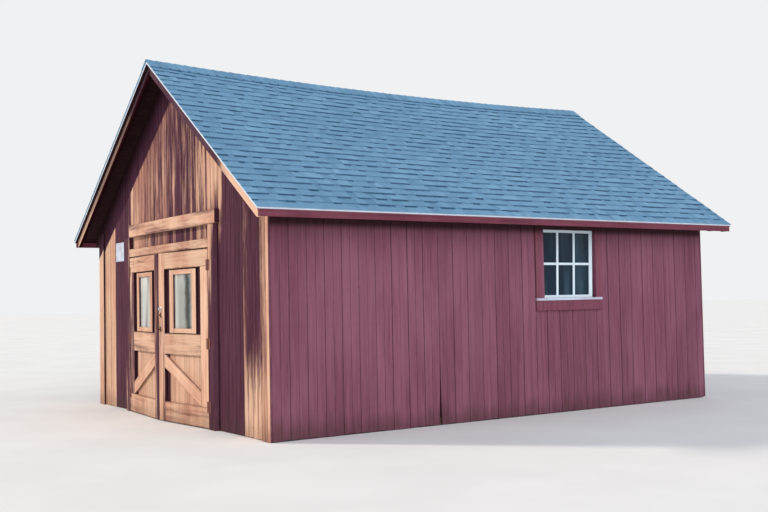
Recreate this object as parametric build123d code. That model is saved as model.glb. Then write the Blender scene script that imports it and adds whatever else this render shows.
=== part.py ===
"""A small gabled storage shed of timber: post and board walls, a shingled roof whose ridge
has sagged, a pair of side-hung plank doors in the front gable and one six-light window.

Millimetres, +Z up. The origin is at the middle of the footprint, on the ground. The front
gable with the doors faces -Y, the ridge runs along Y and the window is in the +X wall.
"""

import os
from math import atan, cos, floor

from build123d import *

# Overall size
wall_width = 5400.0  # X, over the side walls' boards
wall_length = 6720.0  # Y, over the gable walls' boards
eave_height = 2392.0  # top of the roof boards at the eaves
ridge_height = 4489.0  # top of the ridge cap at its ends
ridge_sag = 75.0  # how far the ridge has dropped at the middle of its length
eave_overhang = 300.0  # side wall to the fascia's outer face
rake_overhang = 285.0  # gable wall to the edge of the roof boards
roof_spans = 8  # straight stretches that make up the sagging ridge

# Timber sections
siding = 22.0
post = 90.0
stud = 50.0
side_stud_bays = 10
rafter_width = 50.0
rafter_depth = 115.0
rafter_pairs = 12
birdsmouth = 25.0
ridge_board_width = 25.0
ridge_board_depth = 165.0
collar_tie_drop = 1049.0  # top of the ridge cap's ends to the ties' underside
collar_tie_depth = 90.0
collar_tie_thickness = 25.0
collar_tie_count = 4
gable_stud_spacing = 900.0

# Roof covering and its trim
deck_thickness = 20.0
deck_joint = 3.0  # gap between two sheets of roof boards
shingle_thickness = 12.0
cap_thickness = 10.0
cap_half_width = 150.0
shingle_overhang = 12.0
fascia_thickness = 22.0
fascia_depth = 97.0  # top of the roof boards at the eave to the fascia's foot
fascia_inset = 15.0  # edge of the roof boards back to the fascia's end
rake_thickness = 22.0
rake_depth = 118.0
rake_inset = 42.0  # edge of the roof boards back to the rake boards' outer face
rafter_tail_gap = 2.0  # fascia's foot up to the rafters' level cut
drip_thickness = 3.0
drip_height = 30.0

# Doorway and its surround
door_center = -36.0
leaf_width = 1280.0
leaf_top = 2066.0
leaf_bottom = 12.0
hinge_gap = 8.0
meeting_gap = 9.0
head_gap = 15.0
stop_lap = 20.0
casing_width = 150.0
casing_thickness = 52.0
lower_header_height = 105.0
upper_header_bottom = 2346.0
upper_header_height = 164.0
upper_header_thickness = 60.0
upper_header_left = 8.5  # left end, in from the doorway's side
upper_header_right = 211.5  # right end, out from the doorway's side
ajar_angle = 4.3  # both leaves rest this far open, meeting in a shallow V
corner_board_width = 135.0
corner_strip_width = 60.0
corner_board_thickness = 22.0

# Door leaves
panel_thickness = 18.0
face_thickness = 28.0
hinge_stile = 185.0
latch_stile = 160.0
top_rail = 200.0
mid_rail_bottom = 826.0
mid_rail = 250.0
bottom_rail = 238.0
brace_rise = 163.0  # height of the slanting brace, measured upright
board_joint = 1.0
light_width = 470.0
light_height = 652.0
light_bottom = 1142.0
light_trim_side = 110.0
light_trim_end = 56.0
light_trim_thickness = 20.0
light_rebate = 10.0
glass_thickness = 3.0

# Door hardware
hinge_height = 125.0
hinge_plate_width = 38.0
hinge_plate_thickness = 3.0
hinge_barrel = 12.0
hinge_pin = 6.0
hinge_bore_clearance = 0.08
hinge_plate_gap = 1.0  # barrel's side to the flat of the plate
hinge_low = 255.0
hinge_middle = 975.0
hinge_high = 1880.0
knuckles = 3
knuckle_gap = 0.5
handle_length = 240.0
handle_bottom = 1095.0
handle_bar = 16.0
handle_standoff = 42.0
handle_edge = 55.0  # handle's centre line to the leaf's latch edge
handle_foot_thickness = 3.0
latch_width = 70.0
latch_height = 46.0
latch_thickness = 5.0
latch_boss_length = 20.0
latch_level = 1375.0

# Side window
window_center = 834.0
sash_width = 925.0
sash_height = 850.0
window_drop = 970.0  # eave down to the foot of the sash
sash_stile = 55.0
sash_rail = 34.0
sash_thickness = 35.0
sash_recess = 25.0
sash_clearance = 0.3
jamb_thickness = 20.0
window_casing = 93.0
window_casing_thickness = 20.0
sill_thickness = 30.0
sill_projection = 30.0
sill_horn = 6.0
apron_height = 125.0

# The boards of the window wall that have parted
split_y = -1207.0
split_height = 775.0
split_width = 28.0

seat = 0.3  # fit of one loose piece on another

# Sizes worked out from the driving ones
half_width = wall_width / 2
half_length = wall_length / 2
stud_face = half_width - siding  # outer face of the side studs
end_face = half_length - siding  # outer face of the gable studs
eave_x = half_width + eave_overhang
rake_y = half_length + rake_overhang
fascia_inner = eave_x - fascia_thickness
fascia_bottom = eave_height - fascia_depth
collar_tie_height = ridge_height - collar_tie_drop
pitch = atan((ridge_height - eave_height) / eave_x)
deck_rise = deck_thickness / cos(pitch)
shingle_rise = shingle_thickness / cos(pitch)
cap_rise = cap_thickness / cos(pitch)
rafter_rise = rafter_depth / cos(pitch)
rake_rise = rake_depth / cos(pitch)
eave_base = eave_height - deck_rise
ridge_base = ridge_height - cap_rise - shingle_rise - deck_rise

door_clear = 2 * leaf_width + meeting_gap + 2 * hinge_gap
door_left = door_center - door_clear / 2
door_right = door_center + door_clear / 2
opening_left = door_left + stop_lap
opening_right = door_right - stop_lap
opening_top = leaf_top + head_gap
door_face = -half_length - casing_thickness
leaf_thickness = panel_thickness + face_thickness
hinge_y = door_face - hinge_barrel / 2
left_hinge_x = door_left + hinge_gap / 2
left_hinge_axis = Axis((left_hinge_x, hinge_y, 0), (0, 0, -1))
hinge_levels = (hinge_low, hinge_middle, hinge_high)

window_half = sash_width / 2 + sash_clearance
window_left = window_center - window_half - jamb_thickness
window_right = window_center + window_half + jamb_thickness
sash_bottom = eave_height - window_drop
window_floor = sash_bottom - sash_clearance - jamb_thickness
window_head = sash_bottom + sash_height + sash_clearance + jamb_thickness


def block(x0, x1, y0, y1, z0, z1):
    """A straight-sided block between two corners."""
    size = Box(x1 - x0, y1 - y0, z1 - z0, align=(Align.MIN, Align.MIN, Align.MIN))
    return Pos(x0, y0, z0) * size


def across(points, y0, y1):
    """A slab with its outline in X and Z, running from y0 to y1."""
    outline = make_face(Polyline(*[(x, y0, z) for x, z in points], close=True))
    return extrude(outline, amount=y1 - y0, dir=(0, 1, 0))


def along(points, x0, x1):
    """A slab with its outline in Y and Z, running from x0 to x1."""
    outline = make_face(Polyline(*[(x0, y, z) for y, z in points], close=True))
    return extrude(outline, amount=x1 - x0, dir=(1, 0, 0))


def save(name, *solids):
    """Write one node, made of one solid or of several that don't touch."""
    whole = solids[0] if len(solids) == 1 else Compound(children=list(solids))
    export_step(whole, f"parts/{name}.step")


def sag_curve(y):
    """Drop of the ridge below a straight line, as a parabola over the roof's length."""
    return ridge_sag * (1 - (y / rake_y) ** 2)


def ridge_line(y):
    """Apex of the rafters' tops at y: straight between stations, on past the last ones."""
    span = 2 * rake_y / roof_spans
    index = min(max(floor((y + rake_y) / span), 0), roof_spans - 1)
    near = index * span - rake_y
    share = (y - near) / span
    return ridge_base - sag_curve(near) * (1 - share) - sag_curve(near + span) * share


def roof_slope(y):
    """Fall of the roof for each millimetre out from the ridge at y."""
    return (ridge_line(y) - eave_base) / eave_x


def roof_z(x, y, lift=0.0):
    """Height of the rafters' top plane at a point, plus an upright lift."""
    return ridge_line(y) - abs(x) * roof_slope(y) + lift


def roof_stations(y_end):
    """Places along the roof where its cross-section is drawn."""
    span = 2 * rake_y / roof_spans
    return [-y_end] + [i * span - rake_y for i in range(1, roof_spans)] + [y_end]


def swept(section, stations):
    """A solid through the sections that the function gives at each station."""
    faces = [
        make_face(Polyline(*[(x, y, z) for x, z in section(y)], close=True))
        for y in stations
    ]
    return loft(faces, ruled=True)


def roof_layer(side, reach, low, high, stations):
    """A sheet of boards or shingles on one slope, from the ridge out to the eave."""

    def section(y):
        return [
            (0, roof_z(0, y, low)),
            (side * reach, roof_z(reach, y, low)),
            (side * reach, roof_z(reach, y, high)),
            (0, roof_z(0, y, high)),
        ]

    return swept(section, stations)


def roof_deck(side):
    """One slope's roof boards, a sheet for each straight stretch of the ridge."""
    stations = roof_stations(rake_y)
    solids = []
    for near, far in zip(stations, stations[1:]):
        y0 = near if near == stations[0] else near + deck_joint / 2
        y1 = far if far == stations[-1] else far - deck_joint / 2
        solids.append(roof_layer(side, eave_x, 0, deck_rise, [y0, y1]))
    return solids


def ridge_cap():
    """Folded cap over the top course of both slopes."""
    low = deck_rise + shingle_rise + seat
    high = low + cap_rise - seat

    def section(y):
        edge_low = roof_z(cap_half_width, y, low)
        edge_high = roof_z(cap_half_width, y, high)
        return [
            (-cap_half_width, edge_low),
            (0, roof_z(0, y, low)),
            (cap_half_width, edge_low),
            (cap_half_width, edge_high),
            (0, roof_z(0, y, high)),
            (-cap_half_width, edge_high),
        ]

    return swept(section, roof_stations(rake_y + shingle_overhang))


plate_top = roof_z(stud_face, 0, -rafter_rise) + birdsmouth
plate_bottom = plate_top - post
siding_top = roof_z(half_width, 0, -rafter_rise) - seat


def rafter(side, y):
    """Rafter from the ridge board to the fascia, notched over the wall plate."""
    tail = fascia_inner - seat
    level_cut = fascia_bottom + rafter_tail_gap

    def section(y_face):
        fall = roof_slope(y_face)
        apex = ridge_line(y_face) - rafter_rise
        ridge_side = ridge_board_width / 2
        seat_end = (apex - plate_top - seat) / fall
        points = [
            (ridge_side, roof_z(ridge_side, y_face, -seat)),
            (tail, roof_z(tail, y_face, -seat)),
            (tail, level_cut),
            ((apex - level_cut) / fall, level_cut),
            (stud_face + seat, roof_z(stud_face + seat, y_face, -rafter_rise)),
            (stud_face + seat, plate_top + seat),
            (seat_end, plate_top + seat),
            (ridge_side, roof_z(ridge_side, y_face, -rafter_rise)),
        ]
        return [(side * x, z) for x, z in points]

    return swept(section, [y - rafter_width / 2, y + rafter_width / 2])


def rafter_places():
    """Y of each pair of rafters, the first and last flush with the gable studs."""
    first = -end_face + rafter_width / 2
    step = -2 * first / (rafter_pairs - 1)
    return [first + i * step for i in range(rafter_pairs)]


def ridge_board():
    """Board between the rafters' heads, following the sag, in two lengths."""
    half = ridge_board_width / 2
    stations = roof_stations(end_face)
    middle = roof_spans // 2
    front = stations[:middle] + [stations[middle] - seat / 2]
    back = [stations[middle] + seat / 2] + stations[middle + 1:]

    def section(y):
        top = roof_z(half, y, -seat)
        bottom = top - ridge_board_depth
        return [(-half, bottom), (half, bottom), (half, top), (-half, top)]

    return [swept(section, front), swept(section, back)]


def collar_tie_places():
    """Y of the rafters that carry a tie, spread evenly over the inner pairs."""
    places = rafter_places()[1:-1]
    gap = (len(places) - 1) / (collar_tie_count - 1)
    return [places[round(i * gap)] for i in range(collar_tie_count)]


def collar_tie(y):
    """Tie nailed to the side of one pair of rafters."""
    face = y + rafter_width / 2 + seat
    far = face + collar_tie_thickness
    top = collar_tie_height + collar_tie_depth
    lowest = max(face, far, key=sag_curve)

    def reach(z):
        return (ridge_line(lowest) - 2 * seat - z) / roof_slope(lowest)

    points = [
        (-reach(collar_tie_height), collar_tie_height),
        (reach(collar_tie_height), collar_tie_height),
        (reach(top), top),
        (-reach(top), top),
    ]
    return across(points, face, far)


def sill_timbers():
    """Timbers on the ground under the studs, left out across the doorway."""
    inner = stud_face - post
    sides = [
        block(side * stud_face - (post if side > 0 else 0),
              side * stud_face + (0 if side > 0 else post),
              -end_face, end_face, 0, post)
        for side in (-1, 1)
    ]
    back = block(-inner + seat, inner - seat, end_face - post, end_face, 0, post)
    front_left = block(-inner + seat, opening_left - post - seat,
                       -end_face, -end_face + post, 0, post)
    front_right = block(opening_right + post + seat, inner - seat,
                        -end_face, -end_face + post, 0, post)
    return sides + [back, front_left, front_right]


def side_studs(side, gap=None):
    """Posts and studs of one side wall; gap is the stretch of Y that a window takes."""
    x0, x1 = sorted((side * stud_face, side * (stud_face - post)))
    low, high = post + seat, plate_bottom - seat
    last = end_face - post
    solids = [
        block(x0, x1, -end_face, -last, low, high),
        block(x0, x1, last, end_face, low, high),
    ]
    for i in range(1, side_stud_bays):
        y = -end_face + i * 2 * end_face / side_stud_bays
        if gap and gap[0] - stud < y < gap[1] + stud:
            continue
        solids.append(block(x0, x1, y - stud / 2, y + stud / 2, low, high))
    if gap:
        solids.append(block(x0, x1, gap[0] - stud, gap[0], low, high))
        solids.append(block(x0, x1, gap[1], gap[1] + stud, low, high))
    return solids


def gable_studs(end):
    """Studs of one gable wall: posts up to the plate, then shorter ones to the rafters."""
    y0, y1 = sorted((end * end_face, end * (end_face - post)))
    low, high = post + seat, plate_bottom - seat
    if end < 0:
        places = [-half_width / 2 - stud, half_width / 2 + stud]
        places = [x for x in places if x < opening_left - post or x > opening_right + post]
        solids = [
            block(opening_left - post, opening_left, y0, y1, 0, high),
            block(opening_right, opening_right + post, y0, y1, 0, high),
        ]
    else:
        places = [i * gable_stud_spacing for i in (-2, -1, 0, 1, 2)]
        solids = []
    for x in places:
        solids.append(block(x - stud / 2, x + stud / 2, y0, y1, low, high))
    for i in (-1, 0, 1):
        x = i * gable_stud_spacing
        reach = abs(x) + stud / 2
        under = min(roof_z(reach, y, -rafter_rise) for y in (y0, y1)) - seat
        if i == 0:
            under = roof_z(0, y0, -seat) - ridge_board_depth - seat - ridge_sag
        solids.append(block(x - stud / 2, x + stud / 2, y0, y1, plate_top + seat, under))
    return solids


def door_head_beam():
    """Beam over the doorway, between its two posts."""
    return block(opening_left + seat, opening_right - seat, -end_face, -end_face + post,
                 opening_top, opening_top + post)


def wall_plates():
    """Plates on top of the studs: two long ones, and one across each gable."""
    inner = stud_face - post - seat
    solids = []
    for side in (-1, 1):
        x0, x1 = sorted((side * stud_face, side * (stud_face - post)))
        solids.append(block(x0, x1, -end_face, end_face, plate_bottom, plate_top))
    for end in (-1, 1):
        y0, y1 = sorted((end * end_face, end * (end_face - post)))
        solids.append(block(-inner, inner, y0, y1, plate_bottom, plate_top))
    return solids


def gable_boards(x0, x1, bottom, end):
    """Upright boards of a gable wall between x0 and x1, up to the roof boards."""
    y0, y1 = sorted((end * half_length, end * end_face))

    def under(x):
        return min(roof_z(x, y0), roof_z(x, y1)) - seat

    points = [(x0, bottom), (x1, bottom), (x1, under(x1))]
    if x0 < 0 < x1:
        points.append((0, under(0)))
    points.append((x0, under(x0)))
    return across(points, y0, y1)


def window_wall():
    """The +X wall: parted boards, then the boards before, behind, under and over the window."""
    top = siding_top
    halves = split_width / 2
    front = along([(-half_length, 0), (split_y - halves, 0), (split_y, split_height),
                   (split_y, top), (-half_length, top)], stud_face, half_width)
    middle = along([(split_y + halves, 0), (window_left, 0), (window_left, top),
                    (split_y, top), (split_y, split_height)], stud_face, half_width)
    rear = block(stud_face, half_width, window_right, half_length, 0, top)
    under = block(stud_face, half_width, window_left, window_right, 0, window_floor)
    over = block(stud_face, half_width, window_left, window_right, window_head, top)
    return front, middle, rear, under, over


def corner_boards():
    """Two upright trim boards at each end of both gable walls."""
    solids = []
    for end in (-1, 1):
        y0, y1 = sorted((end * half_length, end * (half_length + corner_board_thickness)))
        for side in (-1, 1):
            strip_in = half_width - corner_strip_width
            board_out = strip_in - board_joint
            board_in = board_out - corner_board_width
            for inner, outer in ((strip_in, half_width), (board_in, board_out)):
                x0, x1 = sorted((side * inner, side * outer))
                top = roof_z(outer, end * half_length, -rafter_rise) - seat
                solids.append(block(x0, x1, y0, y1, 0, top))
    return solids


def fascia_boards():
    """Upright boards on the rafters' tails along both eaves."""
    solids = []
    for side in (-1, 1):
        x0, x1 = sorted((side * eave_x, side * fascia_inner))
        solids.append(block(x0, x1, -rake_y + fascia_inset, rake_y - fascia_inset,
                            fascia_bottom, roof_z(eave_x, 0) - seat))
    return solids


def rake_board(side, end):
    """Sloping board behind the edge of the roof, its foot cut level against the fascia."""
    face = rake_y - rake_inset
    y0, y1 = sorted((end * face, end * (face - rake_thickness)))
    apex = min(ridge_line(y0), ridge_line(y1)) - seat
    fall = (apex + seat - eave_base) / eave_x
    joint = seat / 2
    foot = fascia_inner - seat
    points = [
        (joint, apex - joint * fall),
        (foot, apex - foot * fall),
        (foot, fascia_bottom),
        ((apex - rake_rise - fascia_bottom) / fall, fascia_bottom),
        (joint, apex - rake_rise - joint * fall),
    ]
    return across([(side * x, z) for x, z in points], y0, y1)


def eave_drip(side):
    """Folded metal strip over the fascia's top edge."""
    x0, x1 = sorted((side * eave_x, side * (eave_x + drip_thickness)))
    top = roof_z(eave_x + drip_thickness, rake_y, deck_rise) - seat
    return block(x0, x1, -rake_y, rake_y, top - drip_height, top)


def rake_drip(side, end):
    """The same strip up the edge of the roof, over the rake board."""
    y0, y1 = sorted((end * rake_y, end * (rake_y + drip_thickness)))
    joint = seat / 2
    apex = ridge_line(y0 if end > 0 else y1) + deck_rise - seat
    fall = (apex - eave_height + seat) / eave_x
    points = [
        (joint, apex - joint * fall),
        (eave_x, apex - eave_x * fall),
        (eave_x, apex - eave_x * fall - drip_height),
        (joint, apex - drip_height - joint * fall),
    ]
    return across([(side * x, z) for x, z in points], y0, y1)


# Each leaf is drawn shut, as the left one, with its hinge edge at leaf_x(0)
def leaf_x(s):
    """X of a point s along the left leaf from its hinge edge."""
    return door_left + hinge_gap + s


def leaf_board(s0, s1, z0, z1, back, thickness):
    """A board of the left leaf, its back so far in front of the leaf's back face."""
    y_back = door_face + leaf_thickness - back
    return block(leaf_x(s0), leaf_x(s1), y_back - thickness, y_back, z0, z1)


light_middle = (hinge_stile + leaf_width - latch_stile) / 2
light_near = light_middle - light_width / 2
light_far = light_middle + light_width / 2
light_top = light_bottom + light_height
pane_near = light_near - light_rebate
pane_far = light_far + light_rebate
pane_bottom = light_bottom - light_rebate
pane_top = light_top + light_rebate
latch_line = leaf_width - latch_stile
mid_rail_top = mid_rail_bottom + mid_rail
bottom_rail_top = leaf_bottom + bottom_rail
top_rail_bottom = leaf_top - top_rail


def leaf_panel():
    """Backing boards behind the stiles and rails, left open at the light."""
    near, far = pane_near - seat, pane_far + seat
    inner_near, inner_far = near + board_joint, far - board_joint
    depth = panel_thickness
    return [
        leaf_board(0, near, leaf_bottom, leaf_top, 0, depth),
        leaf_board(far, leaf_width, leaf_bottom, leaf_top, 0, depth),
        leaf_board(inner_near, inner_far, leaf_bottom, pane_bottom - seat, 0, depth),
        leaf_board(inner_near, inner_far, pane_top + seat, leaf_top, 0, depth),
    ]


def leaf_frame():
    """Stiles, rails and the slanting brace on the leaf's face."""
    joint = board_joint

    def face(s0, s1, z0, z1):
        return leaf_board(s0, s1, z0, z1, panel_thickness, face_thickness)

    brace_near, brace_far = hinge_stile + joint, latch_line - joint
    low, high = bottom_rail_top + joint, mid_rail_bottom - joint
    brace = across(
        [
            (leaf_x(brace_near), low),
            (leaf_x(brace_far), high - brace_rise),
            (leaf_x(brace_far), high),
            (leaf_x(brace_near), low + brace_rise),
        ],
        door_face,
        door_face + face_thickness,
    )
    return [
        face(latch_line, leaf_width, leaf_bottom, leaf_top),
        face(0, hinge_stile, bottom_rail_top + joint, top_rail_bottom - joint),
        face(0, latch_line - joint, top_rail_bottom, leaf_top),
        face(0, latch_line - joint, leaf_bottom, bottom_rail_top),
        face(hinge_stile + joint, latch_line - joint, mid_rail_bottom, mid_rail_top),
        brace,
    ]


def leaf_light_trim():
    """Four boards planted round the leaf's light."""
    near, far = light_near - light_trim_side, light_far + light_trim_side
    low, high = light_bottom - light_trim_end, light_top + light_trim_end
    joint = board_joint

    def trim(s0, s1, z0, z1):
        return leaf_board(s0, s1, z0, z1, panel_thickness, light_trim_thickness)

    return [
        trim(near, light_near, low, high),
        trim(light_far, far, low, high),
        trim(light_near + joint, light_far - joint, low, light_bottom),
        trim(light_near + joint, light_far - joint, light_top, high),
    ]


def leaf_glass():
    """Pane set in the panel, against the back of the trim."""
    back = panel_thickness - glass_thickness
    return leaf_board(pane_near, pane_far, pane_bottom, pane_top, back, glass_thickness)


def knuckle(index, level, radius):
    """One knuckle's cylinder on the left hinge line, counted from the bottom."""
    height = hinge_height / knuckles
    z0 = level - hinge_height / 2 + index * height
    return Pos(left_hinge_x, hinge_y, z0 + knuckle_gap / 2) * Cylinder(
        radius, height - knuckle_gap, align=(Align.CENTER, Align.CENTER, Align.MIN))


def hinge_half(level, side, own):
    """Plate and knuckles of half a hinge; side is -1 on the casing and 1 on the leaf."""
    edge = hinge_barrel / 2 + hinge_plate_gap
    height = hinge_height / knuckles
    y0, y1 = door_face - hinge_plate_thickness, door_face
    bottom = level - hinge_height / 2
    x0, x1 = sorted((side * edge, side * (edge + hinge_plate_width)))
    half = block(left_hinge_x + x0, left_hinge_x + x1, y0, y1, bottom, bottom + hinge_height)
    for index in own:
        z0 = bottom + index * height + knuckle_gap / 2
        t0, t1 = sorted((0, side * (edge + hinge_plate_thickness)))
        half += block(left_hinge_x + t0, left_hinge_x + t1, y0, y1, z0,
                      z0 + height - knuckle_gap)
        half += knuckle(index, level, hinge_barrel / 2)
    return half


def casing_hinges():
    """The casing's halves of one leaf's hinges, each with its pin."""
    solids = []
    for level in hinge_levels:
        pin = Pos(left_hinge_x, hinge_y, level) * Cylinder(hinge_pin / 2, hinge_height)
        solids.append(hinge_half(level, -1, range(0, knuckles, 2)) + pin)
    return solids


def leaf_hinges():
    """The leaf's halves of its hinges, bored for the pins."""
    bore = hinge_pin / 2 + hinge_bore_clearance
    solids = []
    for level in hinge_levels:
        hole = Pos(left_hinge_x, hinge_y, level) * Cylinder(bore, hinge_height)
        solids.append(hinge_half(level, 1, range(1, knuckles, 2)) - hole)
    return solids


def pull_handle():
    """Bar handle on two feet, on a leaf's latch stile."""
    x = leaf_x(leaf_width - handle_edge)
    top = handle_bottom + handle_length
    out = door_face - handle_standoff
    foot = 2 * handle_bar
    path = FilletPolyline(
        (x, door_face, handle_bottom + foot),
        (x, out, handle_bottom + foot),
        (x, out, top - foot),
        (x, door_face, top - foot),
        radius=handle_bar,
    )
    section = Plane(origin=path @ 0, z_dir=path % 0) * Rectangle(handle_bar, handle_bar)
    bar = sweep(section, path)
    for z in (handle_bottom, top - 2 * foot):
        bar += block(x - handle_bar, x + handle_bar, door_face - handle_foot_thickness,
                     door_face, z, z + 2 * foot)
    return bar


def latch_plate():
    """Small plate with a round boss above the handle."""
    x = leaf_x(leaf_width - handle_edge)
    plate = block(x - latch_width / 2, x + latch_width / 2, door_face - latch_thickness,
                  door_face, latch_level - latch_height / 2, latch_level + latch_height / 2)
    boss = Pos(x, door_face - latch_thickness, latch_level) * Rot(90, 0, 0) * Cylinder(
        latch_height / 3, latch_boss_length, align=(Align.CENTER, Align.CENTER, Align.MIN))
    return plate + boss


def ajar(solids):
    """The left leaf's solids, turned about their hinges to where they rest."""
    return [solid.rotate(left_hinge_axis, ajar_angle) for solid in solids]


def mirrored(solids):
    """The same solids on the other side of the doorway."""
    middle = Plane(origin=(door_center, 0, 0), z_dir=(1, 0, 0))
    return [mirror(solid, about=middle) for solid in solids]


def door_casings():
    """Thick boards beside the doorway, up to the upper header."""
    y0, y1 = -half_length - casing_thickness, -half_length
    top = upper_header_bottom
    return [
        block(door_left - casing_width, door_left, y0, y1, 0, top),
        block(door_right, door_right + casing_width, y0, y1, 0, top),
    ]


def lower_header():
    """Board over the leaves, between the casings."""
    return block(door_left, door_right, -half_length - casing_thickness, -half_length,
                 opening_top, opening_top + lower_header_height)


def upper_header():
    """Heavy board across the gable, on top of the casings."""
    return block(door_left + upper_header_left, door_right + upper_header_right,
                 -half_length - upper_header_thickness, -half_length,
                 upper_header_bottom, upper_header_bottom + upper_header_height)


def ring(x0, x1, y0, y1, z0, z1, side, rail):
    """Four boards round an upright opening: two full-height sides, two rails between them."""
    inner0, inner1 = y0 + side + board_joint / 2, y1 - side - board_joint / 2
    return [
        block(x0, x1, y0, y0 + side, z0, z1),
        block(x0, x1, y1 - side, y1, z0, z1),
        block(x0, x1, inner0, inner1, z0, z0 + rail),
        block(x0, x1, inner0, inner1, z1 - rail, z1),
    ]


def window_frame():
    """Jamb boards lining the window's hole through the wall."""
    return ring(stud_face - post, half_width, window_left, window_right, window_floor,
                window_head, jamb_thickness, jamb_thickness)


sash_face = half_width - sash_recess
sash_back = sash_face - sash_thickness


def window_sash():
    """Stiles and rails of the fixed sash."""
    return ring(sash_back, sash_face, window_center - sash_width / 2,
                window_center + sash_width / 2, sash_bottom, sash_bottom + sash_height,
                sash_stile, sash_rail)


def window_glass():
    """One sheet behind the bars of the sash."""
    middle = (sash_face + sash_back) / 2
    half = sash_width / 2 - sash_stile - board_joint
    return block(middle - glass_thickness / 2, middle + glass_thickness / 2,
                 window_center - half, window_center + half,
                 sash_bottom + sash_rail + seat,
                 sash_bottom + sash_height - sash_rail - seat)


def window_sill():
    """Sill standing out past the casings."""
    low = window_floor - sill_thickness + jamb_thickness
    return block(half_width, half_width + sill_projection,
                 window_left - window_casing - sill_horn + jamb_thickness,
                 window_right + window_casing + sill_horn - jamb_thickness,
                 low, low + sill_thickness)


def window_trim():
    """Casings beside and over the window, and the apron under its sill."""
    x0, x1 = half_width, half_width + window_casing_thickness
    near, far = window_left + jamb_thickness, window_right - jamb_thickness
    foot = window_floor + jamb_thickness
    head = window_head - jamb_thickness
    top = min(head + window_casing, siding_top)
    sill_bottom = foot - sill_thickness
    return [
        block(x0, x1, near - window_casing, near, foot, top),
        block(x0, x1, far, far + window_casing, foot, top),
        block(x0, x1, near + board_joint, far - board_joint, head, top),
        block(x0, x1, near - window_casing, far + window_casing,
              sill_bottom - apron_height, sill_bottom),
    ]


def main():
    """Build every piece and write it."""
    os.makedirs("parts", exist_ok=True)

    # Frame
    save("sill_timbers", *sill_timbers())
    window_gap = (window_left, window_right)
    save("side_wall_studs", *side_studs(-1), *side_studs(1, window_gap))
    save("gable_wall_studs", *gable_studs(-1), *gable_studs(1), door_head_beam())
    save("wall_plates", *wall_plates())
    save("rafters", *[rafter(side, y) for y in rafter_places() for side in (-1, 1)])
    save("ridge_board", *ridge_board())
    save("collar_ties", *[collar_tie(y) for y in collar_tie_places()])

    # Walls
    save("left_wall", block(-half_width, -stud_face, -half_length, half_length, 0, siding_top))
    front, middle, rear, under, over = window_wall()
    save("right_wall_front", front)
    save("right_wall_middle", middle)
    save("right_wall_rear", rear)
    save("right_wall_at_window", under, over)
    save("back_wall", gable_boards(-stud_face, stud_face, 0, 1))
    save("front_wall_left", gable_boards(-stud_face, opening_left, 0, -1))
    save("front_wall_right", gable_boards(opening_right, stud_face, 0, -1))
    save("front_gable", gable_boards(opening_left, opening_right, opening_top, -1))
    save("corner_boards", *corner_boards())

    # Roof
    shingle_stations = roof_stations(rake_y + shingle_overhang)
    for name, side in (("left", -1), ("right", 1)):
        save(f"roof_deck_{name}", *roof_deck(side))
        save(f"shingles_{name}", roof_layer(side, eave_x + shingle_overhang, deck_rise + seat,
                                            deck_rise + shingle_rise, shingle_stations))
    save("ridge_cap", ridge_cap())
    save("fascia_boards", *fascia_boards())
    save("rake_boards", *[rake_board(side, end) for end in (-1, 1) for side in (-1, 1)])
    save("drip_edges", eave_drip(-1), eave_drip(1),
         *[rake_drip(side, end) for end in (-1, 1) for side in (-1, 1)])

    # Doorway and doors
    save("door_casings", *door_casings())
    save("lower_header", lower_header())
    save("upper_header", upper_header())
    save("door_hinge_casing_halves", *casing_hinges(), *mirrored(casing_hinges()))
    leaf = {
        "panel": leaf_panel(),
        "face_frame": leaf_frame(),
        "light_trim": leaf_light_trim(),
        "glass": [leaf_glass()],
        "hinge_halves": leaf_hinges(),
    }
    for piece, solids in leaf.items():
        save(f"left_door_{piece}", *ajar(solids))
        save(f"right_door_{piece}", *mirrored(ajar(solids)))
    save("pull_handle", *mirrored(ajar([pull_handle()])))
    save("latch_plate", *mirrored(ajar([latch_plate()])))

    # Window
    save("window_frame", *window_frame())
    save("window_sash", *window_sash())
    save("window_glass", window_glass())
    save("window_sill", window_sill())
    save("window_trim", *window_trim())


main()
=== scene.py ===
# %% [markdown]
# # Dressing a timber storage shed
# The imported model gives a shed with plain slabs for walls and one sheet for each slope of
# the roof. This lesson keeps that frame where it is, and builds what the eye looks for on
# the real building: separate boards, shingles laid one by one, rounded edges, nails, old
# paint and panes of glass. Every length is in metres and +Z is up.

import math
import random

import bmesh
import bpy
from mathutils import Matrix, Vector


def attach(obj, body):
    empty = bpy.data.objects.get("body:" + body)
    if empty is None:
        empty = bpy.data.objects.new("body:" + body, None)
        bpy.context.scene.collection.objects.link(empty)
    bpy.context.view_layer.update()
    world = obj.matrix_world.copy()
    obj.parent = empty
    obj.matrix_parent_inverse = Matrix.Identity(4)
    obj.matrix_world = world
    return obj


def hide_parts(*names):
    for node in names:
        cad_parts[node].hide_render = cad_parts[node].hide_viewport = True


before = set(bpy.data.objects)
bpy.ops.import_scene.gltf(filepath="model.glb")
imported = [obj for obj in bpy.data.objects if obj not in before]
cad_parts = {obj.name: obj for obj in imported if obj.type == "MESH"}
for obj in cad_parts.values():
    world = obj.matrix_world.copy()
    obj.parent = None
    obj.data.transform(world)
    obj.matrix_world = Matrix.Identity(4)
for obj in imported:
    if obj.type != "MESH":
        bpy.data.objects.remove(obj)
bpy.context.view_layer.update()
scene = bpy.context.scene
chance = random.Random(11)

# %% [markdown]
# ## Sizes that more than one step needs
# These numbers repeat the driving sizes of the solid model. The roof is the odd one: its
# ridge has sagged, so a height on the roof depends on both X and Y. One function gives it,
# and the boards of the gables, the shingles and the ridge cap all ask it for their height.

# %% Sizes
half_width = 2.7
half_length = 3.36
siding = 0.022
eave_height = 2.392
ridge_height = 4.489
ridge_sag = 0.075
roof_spans = 8
eave_x = 3.0
rake_y = 3.645
seat = 0.0003

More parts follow.
